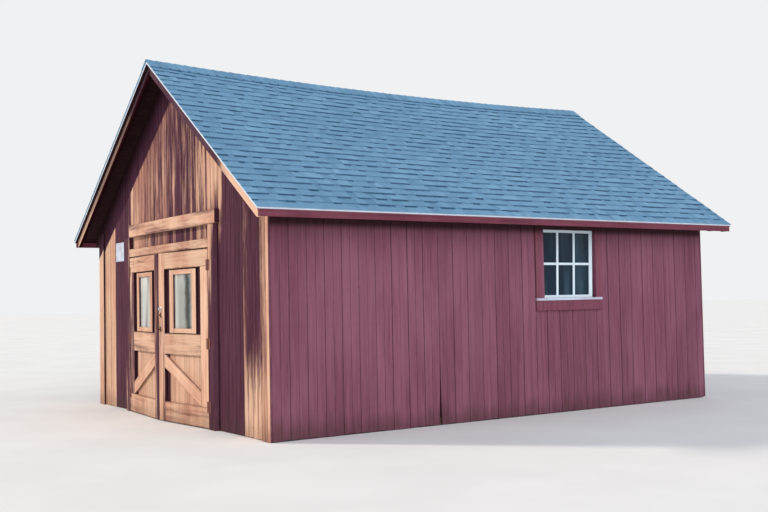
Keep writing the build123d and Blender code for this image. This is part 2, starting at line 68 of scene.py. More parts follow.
slope_angle = math.atan((ridge_height - eave_height) / eave_x)
upright = 1 / math.cos(slope_angle)
deck_rise = 0.020 * upright
shingle_rise = 0.012 * upright
cap_rise = 0.010 * upright
rafter_rise = 0.115 * upright
eave_base = eave_height - deck_rise
ridge_base = ridge_height - cap_rise - shingle_rise - deck_rise


def ridge_line(y):
    """Height of the rafters' apex at y: straight between stations, as the sagging ridge is."""
    span = 2 * rake_y / roof_spans
    index = min(max(math.floor((y + rake_y) / span), 0), roof_spans - 1)
    near = index * span - rake_y
    share = (y - near) / span
    drop = [ridge_sag * (1 - (end / rake_y) ** 2) for end in (near, near + span)]
    return ridge_base - drop[0] * (1 - share) - drop[1] * share


def roof_z(x, y, lift=0.0):
    """Height of the plane under the roof boards at a point, plus an upright lift."""
    apex = ridge_line(y)
    return apex - abs(x) * (apex - eave_base) / eave_x + lift


side_wall_top = roof_z(half_width, 0, -rafter_rise) - seat
print("wall top", round(side_wall_top, 3), "ridge at the middle", round(ridge_line(0), 3))

# %% [markdown]
# ## Camera, floor and light
# The camera stands at the viewpoint of the photograph, found by fitting the corners of the
# walls and the roof. The floor is plain and pale. A low key light from the left of the front
# gable lays the shadow of the rake where the picture has it, a very wide fill lights the
# side with the window, and the sky does the rest. Together they light each side that the
# camera sees so that a colour renders about as it is written.

# %% Camera
def aim_camera(name, place, yaw, pitch, roll, lens):
    """A camera turned from facing +Y: yaw to the left, pitch upwards, then roll."""
    data = bpy.data.cameras.new(name)
    data.lens = lens
    data.sensor_fit = "HORIZONTAL"
    data.sensor_width = 36
    data.clip_end = 300
    camera = bpy.data.objects.new(name, data)
    scene.collection.objects.link(camera)
    yaw, pitch, roll = (math.radians(a) for a in (yaw, pitch, roll))
    ahead = Vector((-math.sin(yaw) * math.cos(pitch), math.cos(yaw) * math.cos(pitch),
                    math.sin(pitch)))
    level = ahead.cross(Vector((0, 0, 1))).normalized()
    above = level.cross(ahead)
    right = level * math.cos(roll) + above * math.sin(roll)
    up = above * math.cos(roll) - level * math.sin(roll)
    camera.matrix_world = Matrix((
        (right.x, up.x, -ahead.x, place[0]),
        (right.y, up.y, -ahead.y, place[1]),
        (right.z, up.z, -ahead.z, place[2]),
        (0, 0, 0, 1)))
    return camera


scene.camera = aim_camera("photo_camera", place=(11.987, -8.153, 1.449), yaw=56.2545,
                          pitch=2.4328, roll=-1.0948, lens=47.38)
scene.view_settings.view_transform = "Standard"
print("camera at", [round(v, 2) for v in scene.camera.location])


# %% Shader helpers
def set_inputs(tree, node, inputs):
    """Sets a node's inputs; each is a value, or a socket to link."""
    for key, value in inputs.items():
        if isinstance(value, bpy.types.NodeSocket):
            tree.links.new(value, node.inputs[key])
        else:
            node.inputs[key].default_value = value


def add_node(tree, kind, inputs=None, **settings):
    """A node with its settings and inputs."""
    made = tree.nodes.new(kind)
    for key, value in settings.items():
        setattr(made, key, value)
    set_inputs(tree, made, inputs or {})
    return made


def srgb(red, green, blue):
    """A colour given from 0 to 255, as the linear colour that a shader wants."""
    linear = []
    for part in (red, green, blue):
        part = part / 255
        linear.append(part / 12.92 if part <= 0.04045 else ((part + 0.055) / 1.055) ** 2.4)
    return (*linear, 1)


def math_node(tree, operation, a, b=0.0):
    """The result of one sum."""
    return add_node(tree, "ShaderNodeMath", {0: a, 1: b}, operation=operation).outputs[0]


def times(tree, *values):
    """The product of values."""
    result, *others = values
    for other in others:
        result = math_node(tree, "MULTIPLY", result, other)
    return result


def plus(tree, a, b):
    """The sum of two values."""
    return math_node(tree, "ADD", a, b)


def minus(tree, a, b):
    """One value less another."""
    return math_node(tree, "SUBTRACT", a, b)


def object_place(tree):
    """Where a point lies on the object."""
    return add_node(tree, "ShaderNodeTexCoord").outputs["Object"]


def parts_of(tree, vector):
    """X, Y and Z of a vector."""
    return add_node(tree, "ShaderNodeSeparateXYZ", {0: vector}).outputs


def read_attribute(tree, name, output="Fac"):
    """What a mesh says about a point."""
    return add_node(tree, "ShaderNodeAttribute", attribute_name=name).outputs[output]


def remap(tree, value, low, high, start=0.0, end=1.0):
    """Value from low..high to start..end, eased at both ends."""
    return add_node(tree, "ShaderNodeMapRange", {
        "Value": value, "From Min": low, "From Max": high, "To Min": start, "To Max": end,
    }, interpolation_type="SMOOTHSTEP").outputs["Result"]


def mix_colors(tree, factor, a, b, blend="MIX"):
    """Colour a towards colour b; three numbers stand for a colour given from 0 to 255."""
    a, b = (srgb(*c) if isinstance(c, tuple) else c for c in (a, b))
    return add_node(tree, "ShaderNodeMix", {0: factor, 6: a, 7: b}, data_type="RGBA",
                    blend_type=blend, clamp_factor=True).outputs[2]


def tint(tree, colour, mask, share, towards):
    """The colour moved towards another by a share of a mask."""
    return mix_colors(tree, times(tree, mask, share), colour, towards)


def noise(tree, vector, scale, detail=3.0, roughness=0.55):
    """A noise value from 0 to 1."""
    return add_node(tree, "ShaderNodeTexNoise", {
        "Vector": vector, "Scale": scale, "Detail": detail, "Roughness": roughness,
    }).outputs["Fac"]


def stretch(tree, vector, scale):
    """The vector with its axes scaled apart."""
    return add_node(tree, "ShaderNodeMapping", {"Vector": vector, "Scale": scale},
                    vector_type="POINT").outputs["Vector"]


def new_group(name, inputs, outputs):
    """An empty node group, the values of its inputs and its output node.

    An input is a name, a kind and a default or None; an output is a name and a kind."""
    group = bpy.data.node_groups.new(name, "ShaderNodeTree")
    for socket, kind, default in inputs:
        made = group.interface.new_socket(name=socket, in_out="INPUT", socket_type=kind)
        if default is not None:
            made.default_value = default
    for socket, kind in outputs:
        group.interface.new_socket(name=socket, in_out="OUTPUT", socket_type=kind)
    source = group.nodes.new("NodeGroupInput").outputs
    return group, source, group.nodes.new("NodeGroupOutput")


def use_group(tree, group, inputs):
    """The group as a node, with its inputs set or linked."""
    return add_node(tree, "ShaderNodeGroup", inputs, node_tree=group).outputs


def new_material(name):
    """A material with a bare Principled shader, and its tree."""
    material = bpy.data.materials.new(name)
    material.use_nodes = True
    tree = material.node_tree
    return material, tree, tree.nodes["Principled BSDF"]


def bump(tree, shader, height, strength, distance):
    """Relief from a height, on the shader's normal."""
    relief = add_node(tree, "ShaderNodeBump", {
        "Height": height, "Strength": strength, "Distance": distance})
    tree.links.new(relief.outputs["Normal"], shader.inputs["Normal"])


# %% Floor and backdrop light
floor_reach = 150


def make_floor():
    """A wide pale floor that only takes the shed's shadow."""
    bm = bmesh.new()
    bmesh.ops.create_grid(bm, x_segments=1, y_segments=1, size=floor_reach)
    mesh = bpy.data.meshes.new("floor")
    bm.to_mesh(mesh)
    bm.free()
    floor = bpy.data.objects.new("floor", mesh)
    scene.collection.objects.link(floor)
    material, tree, shader = new_material("pale_floor")
    soft = remap(tree, noise(tree, object_place(tree), 0.8), 0.3, 0.7)
    colour = mix_colors(tree, soft, (226, 226, 224), (232, 232, 230))
    set_inputs(tree, shader, {"Base Color": colour, "Roughness": 0.9})
    mesh.materials.append(material)


def light_world(strength, backdrop):
    """Even light from all round, and a pale backdrop for the camera and for reflections."""
    world = bpy.data.worlds.new("studio")
    scene.world = world
    world.use_nodes = True
    tree = world.node_tree
    path = add_node(tree, "ShaderNodeLightPath")
    seen = math_node(tree, "MAXIMUM", path.outputs["Is Camera Ray"],
                     path.outputs["Is Glossy Ray"])
    seen = math_node(tree, "MAXIMUM", seen, path.outputs["Is Transmission Ray"])
    sky = tree.nodes["Background"]
    set_inputs(tree, sky, {"Color": srgb(236, 243, 255), "Strength": strength})
    shown = add_node(tree, "ShaderNodeBackground", {"Color": backdrop, "Strength": 1.0})
    both = add_node(tree, "ShaderNodeMixShader", {
        0: seen, 1: sky.outputs[0], 2: shown.outputs[0]})
    tree.links.new(both.outputs[0], tree.nodes["World Output"].inputs["Surface"])


def add_sun(name, towards, strength, softness, colour):
    """A sun lamp shining along a direction."""
    data = bpy.data.lights.new(name, "SUN")
    data.energy = strength
    data.angle = math.radians(softness)
    data.color = colour[:3]
    lamp = bpy.data.objects.new(name, data)
    scene.collection.objects.link(lamp)
    lamp.matrix_world = Vector(towards).to_track_quat("-Z", "Y").to_matrix().to_4x4()


make_floor()
light_world(strength=0.55, backdrop=srgb(240, 241, 242))
add_sun("low_key", (0.62, 0.62, -0.48), strength=2.2, softness=5, colour=srgb(255, 240, 222))
add_sun("wide_fill", (-0.80, 0.10, -0.59), strength=1.5, softness=60,
        colour=srgb(248, 250, 255))
print("floor, sky, key and fill")

# %% [markdown]
# ## Shared effects
# Old boards have three things in common: grain that runs along the board, wear along its
# edges and at its foot, and blotches where rain and sun reach it. One node group makes the
# grain and one the weathering, with named sockets, so the red boards, the sun-worn boards,
# the trim and the bare timber all use the same two with their own values. The groups only
# put out masks and heights.

# %% Node group for grain
def make_grain_group():
    """Long streaks and fine fibres that run along the third axis of the vector."""
    group, source, target = new_group(
        "board_grain",
        [("Vector", "NodeSocketVector", None), ("Width", "NodeSocketFloat", 30.0)],
        [("Streaks", "NodeSocketFloat"), ("Fibres", "NodeSocketFloat"),
         ("Height", "NodeSocketFloat")])
    long_way = stretch(group, source["Vector"], (1, 1, 0.045))
    broad = noise(group, long_way, source["Width"], 4, 0.6)
    fine = noise(group, long_way, times(group, source["Width"], 6.0), 3, 0.65)
    streaks = remap(group, broad, 0.33, 0.67)
    fibres = remap(group, fine, 0.3, 0.7)
    height = plus(group, times(group, streaks, 0.4), times(group, fibres, 0.6))
    set_inputs(group, target, {"Streaks": streaks, "Fibres": fibres, "Height": height})
    return group


grain_group = make_grain_group()


# %% Node group for weathering
def make_weather_group():
    """Where a board has worn: edges, foot, blotches and chips, and where red paint shows, mostly
    painted shade.
    """
    group, source, target = new_group(
        "board_weather",
        [("Place", "NodeSocketVector", None), ("Grain", "NodeSocketVector", None),
         ("Across", "NodeSocketFloat", 0.0), ("Fibres", "NodeSocketFloat", 0.5),
         ("Red and shade", "NodeSocketFloat", 0.0), ("Drift", "NodeSocketFloat", 9.0)],
        [("Edge", "NodeSocketFloat"), ("Foot", "NodeSocketFloat"),
         ("Blotch", "NodeSocketFloat"), ("Chips", "NodeSocketFloat"),
         ("Red in shade", "NodeSocketFloat")])
    place = source["Place"]
    drifts = noise(group, stretch(group, source["Grain"], (1, 1, 0.07)), source["Drift"], 4, 0.6)
    red_in_shade = plus(group, source["Red and shade"], drifts)
    red_in_shade = plus(group, red_in_shade, times(group, source["Fibres"], 0.12))
    ragged = noise(group, place, 14.0, 4, 0.6)
    side = math_node(group, "ABSOLUTE", source["Across"])
    side = plus(group, side, times(group, ragged, 0.3))
    up_stains = noise(group, stretch(group, place, (9, 9, 0.8)), 1.0, 3, 0.6)
    splash = minus(group, parts_of(group, place)["Z"], times(group, up_stains, 0.5))
    clouds = noise(group, stretch(group, place, (1, 1, 0.35)), 1.7, 4, 0.6)
    flecks = noise(group, stretch(group, place, (1, 1, 0.3)), 42.0, 3, 0.7)
    flecks = plus(group, flecks, times(group, source["Fibres"], 0.14))
    set_inputs(group, target, {
        "Red in shade": remap(group, red_in_shade, 0.92, 1.22), "Edge": remap(group, side, 1.0, 1.18),
        "Foot": remap(group, splash, 0.02, -0.24), "Blotch": remap(group, clouds, 0.38, 0.64),
        "Chips": remap(group, flecks, 0.74, 0.82)})
    return group


weather_group = make_weather_group()
print("groups", [g.name for g in bpy.data.node_groups])


# %% [markdown]
# ## Paint on boards
# One recipe makes every painted or bare timber finish. The colours go from the deep tint in
# the streaks to the coat, then to the faded tint in blotches, then to bare wood in chips.
# New pieces carry four attributes: grain, a position whose third axis runs along the
# board; across, from -1 to 1 between its edges; tone, one random value a board; and a
# fourth, how much red a board shows. On the front the pale tints are painted sunlight on
# faded paint and the red is that paint where shade falls, so this fourth value is painted
# shade as much as kept paint: the same gable has pale boards and red ones. A CAD node has
# none of them, so its material turns Object coordinates the way its boards run.

# %% Painted and bare timber
def painted_shade_masks(tree, place):
    """Masks of painted shade: red paint where the rake's shadow falls and on faces turned to +X,
    a near black for the darkest strip under the left slope, and the side wall's tint for the
    faces of the casing and the corner that look the side wall's way."""
    facing = add_node(tree, "ShaderNodeNewGeometry").outputs["Normal"]
    away = remap(tree, parts_of(tree, facing)["X"], 0.6, 0.9)
    parts = parts_of(tree, place)
    height = plus(tree, parts["Z"], times(tree, parts["X"], -math.tan(slope_angle)))
    left = remap(tree, parts["X"], 0.12, 0.0)
    under = times(tree, remap(tree, height, ridge_base - 0.50, ridge_base - 0.42), left)
    dark = remap(tree, height, ridge_base - 0.40, ridge_base - 0.05, 0.0, 0.8)
    below_header = remap(tree, parts["Z"], 2.345, 2.335)
    casing = times(tree, remap(tree, parts["X"], 1.30, 1.36), below_header)
    beside = math_node(tree, "MAXIMUM", remap(tree, parts["X"], 2.5, 2.6), casing)
    return plus(tree, away, under), times(tree, dark, left), times(tree, away, beside)


# The groove colour darkens joints and board edges, and is also the painted shade under the eave
# and under the left slope.
def board_material(name, deep, coat, faded, bare, fade=0.5, chips=0.5, foot=0.7, edge=0.5,
                   groove_and_shade=(38, 22, 24), mud=(70, 52, 46), rough=0.72, run=None,
                   relief=0.35, width=30.0, red_in_shade=None, eave_shade_from=None, drift=9.0):
    """A timber finish; run is the axis of a CAD node's boards, and the pair of red tints is the
    paint as it looks in shade: painted shade.

    Above the height given for the eave, the boards darken: painted shade under the eave."""
    material, tree, shader = new_material(name)
    place = object_place(tree)
    if run is None:
        grain = read_attribute(tree, "grain", "Vector")
    else:
        turn = {"X": (0, math.pi / 2, 0), "Y": (math.pi / 2, 0, 0), "Z": (0, 0, 0)}[run]
        grain = add_node(tree, "ShaderNodeMapping", {"Vector": place, "Rotation": turn}).outputs[0]
    wood = use_group(tree, grain_group, {"Vector": grain, "Width": width})
    red_and_shade = read_attribute(tree, "red_and_shade")
    if red_in_shade:
        # Painted shade of the rake and on faces turned to +X shows as red paint.
        painted_shade, dark, side_facing_shade = painted_shade_masks(tree, place)
        red_and_shade = plus(tree, red_and_shade, painted_shade)
    wear_and_painted_light = use_group(tree, weather_group, {
        "Place": place, "Grain": grain, "Across": read_attribute(tree, "across"),
        "Fibres": wood["Fibres"], "Red and shade": red_and_shade, "Drift": drift})

    colour = mix_colors(tree, wood["Streaks"], deep, coat)
    colour = tint(tree, colour, wear_and_painted_light["Blotch"], fade, faded)
    colour = tint(tree, colour, wood["Fibres"], 0.22, faded)
    colour = tint(tree, colour, wear_and_painted_light["Chips"], chips, bare)
    # Painted shade: near black under the left slope, and the side wall's shaded tint on
    # side-facing faces of the casing and the corner.
    if red_in_shade:
        old_paint = mix_colors(tree, wood["Streaks"], *red_in_shade)
        old_paint = mix_colors(tree, dark, old_paint, groove_and_shade)
        old_paint = mix_colors(tree, side_facing_shade, old_paint, (146, 92, 112))
        colour = mix_colors(tree, wear_and_painted_light["Red in shade"], colour, old_paint)
    if run is None:
        level = remap(tree, read_attribute(tree, "tone"), 0.0, 1.0, 0.92, 1.06)
        grey = add_node(tree, "ShaderNodeCombineColor", {0: level, 1: level, 2: level})
        colour = mix_colors(tree, 1.0, colour, grey.outputs[0], "MULTIPLY")
    colour = tint(tree, colour, wear_and_painted_light["Edge"], edge, groove_and_shade)
    colour = tint(tree, colour, wear_and_painted_light["Foot"], foot, mud)
    # Painted shade under the eave: the boards darken from a given height up.
    if eave_shade_from:
        eave_shade = remap(tree, parts_of(tree, place)["Z"], eave_shade_from, eave_shade_from + 0.09, 0.0, 0.85)
        colour = mix_colors(tree, eave_shade, colour, groove_and_shade)
    gloss = remap(tree, wood["Height"], 0.0, 1.0, rough + 0.12, rough - 0.06)
    set_inputs(tree, shader, {"Base Color": colour, "Roughness": gloss,
                              "Specular IOR Level": 0.1})
    bump(tree, shader, wood["Height"], relief, 0.0015)
    return material


# The two tints of red on the front are its paint as it looks in shade: painted shade.
old_red_in_shade = ((65, 31, 47), (90, 49, 68))
# Painted shade under the eave starts here on the side walls and the window trim.
eave_shade_from = side_wall_top - 0.235
red_tints = ((118, 68, 85), (139, 84, 103), (152, 99, 116), (154, 116, 116))
barn_red = board_material("barn_red_paint", *red_tints, chips=0.25, foot=0.52, edge=0.4,
                          eave_shade_from=eave_shade_from)
gable_red = board_material("back_gable_paint", *red_tints, chips=0.25, foot=0.4, edge=0.4)
# The pale front finishes are painted warm sunlight on faded red paint.
sunlit_worn_paint = board_material("sunlit_faded_front_paint", (184, 126, 105), (220, 172, 143),
                          (244, 209, 179), (240, 212, 184), chips=0.4, foot=0.35,
                          red_in_shade=old_red_in_shade)
sunlit_worn_gable = board_material("sunlit_faded_gable_paint", (124, 76, 74), (178, 126, 110),
                            (236, 188, 158), (244, 204, 172), fade=0.75, chips=0.6,
                            foot=0, red_in_shade=old_red_in_shade, drift=19.0, width=40.0)
bare_boards = board_material("bare_board_timber", (58, 44, 38), (92, 70, 58),
                             (112, 88, 72), (124, 100, 80), chips=0.2, foot=0.4)
white_paint = board_material("white_sash_paint", (218, 236, 244), (228, 244, 250),
                             (236, 248, 253), (176, 166, 156), chips=0.3, foot=0,
                             edge=0.1, mud=(150, 140, 130), relief=0.15)
print("timber finishes", barn_red.name, sunlit_worn_paint.name, sunlit_worn_gable.name, white_paint.name)

# %% [markdown]
# ## Boards
# A wall of boards is many copies of one simple shape, so a helper makes one board: a cube
# scaled between two corners, which also gets its four attributes. The board's edges are
# rounded later by one Bevel modifier on the whole wall, which costs nothing to change.

# %% Board helper
AXIS = {"X": 0, "Y": 1, "Z": 2}


def new_boards():
    """An empty mesh with the attributes that the timber finishes read."""
    bm = bmesh.new()
    bm.verts.layers.float_vector.new("grain")
    for name in ("across", "tone", "red_and_shade"):
        bm.verts.layers.float.new(name)
    return bm


def board_layers(bm):
    """The four attributes of a mesh of boards: grain, across, tone and the red paint with painted
    shade.
    """
    floats = bm.verts.layers.float
    return (bm.verts.layers.float_vector["grain"], floats["across"], floats["tone"],
            floats["red_and_shade"])


def random_shift():
    """A random place in the pattern, so that no two pieces show the same grain."""
    return Vector([chance.uniform(0, 9) for _ in range(3)])


def surroundings(verts):
    """The vertices with the edges and faces that touch them, for a cut."""
    edges = dict.fromkeys(e for v in verts for e in v.link_edges)
    faces = dict.fromkeys(f for v in verts for f in v.link_faces)
    return [*verts, *edges, *faces]


def add_board(bm, low, high, run="Z", wide=None, tone=None, place=None, red_and_shade=0.2):
    """One board between two corners; run is along it and wide is across its face."""
    low, high = Vector(low), Vector(high)
    size = high - low
    along = AXIS[run]
    sideways = AXIS[wide] if wide else max((a for a in range(3) if a != along),
                                           key=lambda a: size[a])
    third = 3 - along - sideways
    grain, across, shade, paint = board_layers(bm)
    shift = random_shift()
    tone = chance.random() if tone is None else tone
    made = bmesh.ops.create_cube(bm, size=1)["verts"]
    for vert in made:
        vert[across] = 2 * vert.co[sideways]
        vert[shade] = tone
        vert[paint] = red_and_shade
    bmesh.ops.scale(bm, vec=size, verts=made)
    for vert in made:
        vert[grain] = Vector((vert.co[sideways], vert.co[third], vert.co[along])) + shift
    bmesh.ops.translate(bm, vec=(low + high) / 2, verts=made)
    if place is not None:
        bmesh.ops.transform(bm, matrix=place, verts=made)
    return made


def finish_piece(name, bm, body, material, replaced=(), bevel=0.0, inside=None):
    """The mesh as a piece that rides on a body, with its edges rounded.

    Faces that look along inside, a direction, are bare timber."""
    bmesh.ops.recalc_face_normals(bm, faces=bm.faces)
    if inside:
        bm.normal_update()
        for face in bm.faces:
            face.material_index = int(face.normal.dot(Vector(inside)) > 0.9)
    mesh = bpy.data.meshes.new(name)
    bm.to_mesh(mesh)
    bm.free()
    piece = bpy.data.objects.new(name, mesh)
    scene.collection.objects.link(piece)
    mesh.materials.append(material)
    if inside:
        mesh.materials.append(bare_boards)
    if bevel:
        round_edges(piece, bevel)
    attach(piece, body)
    if replaced:
        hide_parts(*replaced)
    print(name, len(mesh.polygons), "faces")
    return piece


def round_edges(piece, width):
    """A Bevel modifier on the edges that turn sharply."""
    rounding = piece.modifiers.new("rounding", "BEVEL")
    rounding.width = width
    rounding.segments = 2
    rounding.limit_method = "ANGLE"
    rounding.angle_limit = math.radians(40)
    rounding.use_clamp_overlap = True


# %% [markdown]
# ## Siding
# The walls are upright boards about 106 mm wide. They were milled in pairs, so every second
# joint is a true joint with a wider gap and the one between is only a groove, and a pair
# weathers as one board. A tongue closes each gap from behind. Each pair stands a little in
# or out of line, and its foot is a little ragged, as old boards that stand in the wet are.

# %% Siding helper
side_gaps = (0.0055, 0.0026)
front_gaps = (0.0055, 0.0018)
tongue_half_width, tongue_half_depth, tongue_inset = 0.01, 0.003, 0.012
all_nails = []


def joints(start, end, count):
    """Evenly spaced board joints, without the last."""
    return [start + i * (end - start) / count for i in range(count)]


def all_painted(_):
    """Red paint and painted shade at the foot and the top of a board, on a wall whose boards are
    all alike.
    """
    return 0.0, 0.0


def lay_siding(bm, edges, wide, face, out, foot_at, top_at, gaps=side_gaps, holes=(),
               red_and_shade_at=all_painted, open_at=None, open_below=0.0):
    """Upright boards between the edges, on a wall whose outer face is at face.

    wide is the axis across the boards and out is 1 or -1, the way the wall faces. gaps are
    about the widths of a true joint and of a groove, and a function gives the red paint and
    painted shade.
    The joint open_at has lost its tongue up to the height open_below."""
    axis = AXIS[wide]
    depth = 1 - axis
    _, across, _, paint = board_layers(bm)
    open_width = [gaps[i % 2] * chance.uniform(0.35, 1.2) for i in range(len(edges))]
    for index, (left, right) in enumerate(zip(edges, edges[1:])):
        a, b = left + open_width[index] / 2, right - open_width[index + 1] / 2
        middle = (a + b) / 2
        weak_side = 1 if index % 2 == 0 else -1
        if weak_side > 0:
            inset = chance.uniform(0.0002, 0.0026)
            tone = chance.random()
        spans = [(foot_at(middle), top_at(middle))]
        for h0, h1, z0, z1 in holes:
            if h0 - 0.001 < middle < h1 + 0.001:
                spans = [(spans[0][0], z0), (z1, spans[0][1])]
        for low_z, high_z in spans:
            low, high = [0, 0, low_z], [0, 0, high_z]
            low[axis], high[axis] = a, b
            low[depth], high[depth] = sorted((face - out * inset, face - out * siding))
            made = add_board(bm, low, high, wide=wide, tone=tone + chance.uniform(-0.1, 0.1))
            foot_red_and_shade, top_red_and_shade = red_and_shade_at(middle)
            for vert in made:
                at_top = vert.co.z > (low_z + high_z) / 2
                vert[paint] = top_red_and_shade if at_top else foot_red_and_shade
                if vert[across] * weak_side > 0:
                    vert[across] *= 0.92
                if at_top and high_z == spans[-1][1]:
                    vert.co.z = top_at(vert.co[axis])
                elif not at_top and low_z < 0.05:
                    vert.co.z += chance.uniform(0, 0.009)
            all_nails.append((axis, middle, face - out * inset, out, low_z, high_z))
        if index:
            start = open_below if left == open_at else tongue_inset
            lay_tongue(bm, axis, left, face - out * siding / 2, spans, top_at, start)


def lay_tongue(bm, axis, middle, face, spans, top_at, start):
    """The strip behind a joint, which keeps the light out."""
    for low_z, high_z in spans:
        low, high = [0, 0, low_z + start], [0, 0, high_z]
        if high_z == spans[-1][1]:
            high[2] = top_at(middle) - tongue_inset
        low[axis], high[axis] = middle - tongue_half_width, middle + tongue_half_width
        low[1 - axis], high[1 - axis] = face - tongue_half_depth, face + tongue_half_depth
        add_board(bm, low, high, tone=0.0, red_and_shade=1.0)


def ground_foot(_):
    """Boards reach down to the ground, or nearly."""
    return chance.uniform(0, 0.008)


def flat_top(_):
    """Side walls end level, under the rafters."""
    return side_wall_top


def gable_top(end):
    """Gable boards end under the roof boards."""
    def top(x):
        return min(roof_z(x, end * half_length), roof_z(x, end * (half_length - siding))) - seat
    return top


# %% [markdown]
# The right wall has the window, so its boards over and under the opening are in two pieces.
# One of its joints has parted at the foot: the tongue is gone there, and the boards on both
# sides are cut across where the gap starts, so that it widens from there down to the foot.

# %% Side walls
split_y = -1.207
split_height = 0.775
split_half = 0.0145
window_left, window_right = 0.3512, 1.3168
window_floor, window_head = 1.4017, 2.2923
window_gap = 0.277

right_edges = (joints(-half_length, split_y, 20) + joints(split_y, window_gap, 14)
               + [window_gap] + joints(window_left, window_right, 9)
               + joints(window_right, half_length, 19) + [half_length])
bm = new_boards()
lay_siding(bm, right_edges, "Y", half_width, 1, ground_foot, flat_top,
           holes=[(window_left, window_right, window_floor, window_head)],
           open_at=split_y, open_below=split_height)
beside_split = [v for v in bm.verts if abs(v.co.y - split_y) < 0.11]
bmesh.ops.bisect_plane(bm, geom=surroundings(beside_split),
                       plane_co=(0, 0, split_height - 0.005), plane_no=(0, 0, 1))
for vert in bm.verts:
    if abs(vert.co.y - split_y) < 0.005 and vert.co.z < 0.02:
        vert.co.y += split_half if vert.co.y > split_y else -split_half
finish_piece("right_wall_boards", bm, "shed", barn_red,
             ["right_wall_front", "right_wall_middle", "right_wall_rear",
              "right_wall_at_window"], bevel=0.0016, inside=(-1, 0, 0))

bm = new_boards()
lay_siding(bm, joints(-half_length, half_length, 63) + [half_length], "Y", -half_width, -1,
           ground_foot, flat_top)
finish_piece("left_wall_boards", bm, "shed", barn_red, ["left_wall"],
             bevel=0.0016, inside=(1, 0, 0))

# %% [markdown]
# The gable boards are cut to the slope of the roof. Each board's upper corners simply take
# the height of the roof at their own X, which gives the slanting cut without any cutting.
# The front gable takes the sun. Its pale tints are painted sunlight on faded paint, and its
# red is that paint where shade falls on it: painted shade. A short table along X says how
# much red its boards show at their foot and at their top, from pale at 0 or less to red at
# 1 or more, and each board strays a little from it.

# %% Gable walls
wall_in = half_width - siding
door_left, door_right = -1.3285, 1.2565
opening_left, opening_right, opening_top = -1.3085, 1.2365, 2.081


def opening_foot(_):
    """Over the doorway the boards start at its head."""
    return opening_top


front_sun_and_shade = (
    (-2.70, 0.00, 0.00), (-2.08, 0.10, 0.10), (-2.00, 0.80, 0.80), (-1.45, 0.75, 0.75),
    (-1.30, 0.33, 0.33), (-0.60, 0.48, 0.48), (0.05, 0.57, 0.53), (0.25, 0.67, 0.63),
    (0.80, 0.65, 0.61), (0.95, 0.49, 0.49), (1.22, 0.41, 0.41), (1.25, 2.40, -0.20),
    (1.53, 2.40, -0.20), (1.57, 1.00, 1.00), (2.04, 1.00, 1.00), (2.08, 0.42, 0.56),
    (2.18, 0.42, 0.74), (2.22, 0.28, 1.10), (2.36, 0.28, 1.20), (2.45, 0.34, 1.10),
    (2.70, 0.36, 0.80))


def front_red_and_shade(x):
    """Red paint and painted shade of a front board at its foot and top, read between the table's
    points.
    """
    for (x0, *start_red_and_shade), (x1, *end_red_and_shade) in zip(front_sun_and_shade, front_sun_and_shade[1:]):
        if x0 <= x <= x1:
            share = (x - x0) / (x1 - x0)
            stray = chance.uniform(-0.09, 0.09)
            return [a * (1 - share) + b * share + stray for a, b in zip(start_red_and_shade, end_red_and_shade)]
    return 0.0, 0.0


def lay_front(name, start, end, count, foot_at, node, material=sunlit_worn_paint):
    """One stretch of the front gable's boards."""
    bm = new_boards()
    lay_siding(bm, joints(start, end, count) + [end], "X", -half_length, -1, foot_at,
               gable_top(-1), front_gaps, red_and_shade_at=front_red_and_shade)
    finish_piece(name, bm, "shed", material, [node], bevel=0.0018, inside=(0, 1, 0))


lay_front("front_left_boards", -wall_in, opening_left, 13, ground_foot,
          "front_wall_left")
lay_front("front_gable_boards", opening_left, opening_right, 24, opening_foot,
          "front_gable", sunlit_worn_gable)
lay_front("front_right_boards", opening_right, wall_in, 14, ground_foot,
          "front_wall_right")

bm = new_boards()
lay_siding(bm, joints(-wall_in, wall_in, 50) + [wall_in], "X", half_length, 1, ground_foot,
           gable_top(1))
finish_piece("back_boards", bm, "shed", gable_red, ["back_wall"],
             bevel=0.0016, inside=(0, -1, 0))
print("boards nailed", len(all_nails))

# %% [markdown]
# ## Corner boards, casings and headers
# A narrow and a wide strip cover each corner on its gable side, and the doorway has a
# heavy casing on both sides. One header sits between the casings, over the leaves, and a
# longer one that stands proud of them lies above it.

# %% Corner boards and doorway surround
corner_thickness = 0.022
corner_strip = 0.060
corner_board = 0.135
casing_thickness = 0.052
casing_width = 0.150
header_low = 2.346
header_high = 2.510
header_thickness = 0.060
lower_header_top = 2.186
header_left, header_right = -1.320, 1.468

bm = new_boards()
paint = bm.verts.layers.float["red_and_shade"]
for end in (-1, 1):
    for side in (-1, 1):
        strip_in = half_width - corner_strip
        board_out = strip_in - 0.001
        for inner, outer in ((strip_in, half_width), (board_out - corner_board, board_out)):
            x0, x1 = sorted((side * inner, side * outer))
            y0, y1 = sorted((end * half_length, end * (half_length + corner_thickness)))
            top = roof_z(outer, end * half_length, -rafter_rise) - seat
            strip = inner == strip_in
            # Pale is painted sunlight; the wide right front board shows some red, partly painted
            # shade.
            made = add_board(bm, (x0, y0, 0), (x1, y1, top), "Z", "X", tone=1 if strip else 0.0)
            for vert in made:
                vert[paint] = -0.3 if strip or side < 0 else 0.5
                if vert.co.z < 0.5:
                    vert.co.z += chance.uniform(0, 0.02)
            for face in {f for v in made for f in v.link_faces}:
                face.material_index = 1 if end > 0 else 0
trim = finish_piece("corner_trim", bm, "shed", sunlit_worn_paint, ["corner_boards"],
                    bevel=0.002)
trim.data.materials.append(gable_red)

bm = new_boards()
y0, y1 = -half_length - casing_thickness, -half_length
paint = bm.verts.layers.float["red_and_shade"]
add_board(bm, (door_left - casing_width, y0, 0), (door_left, y1, header_low), "Z", "X",
          red_and_shade=0.58)
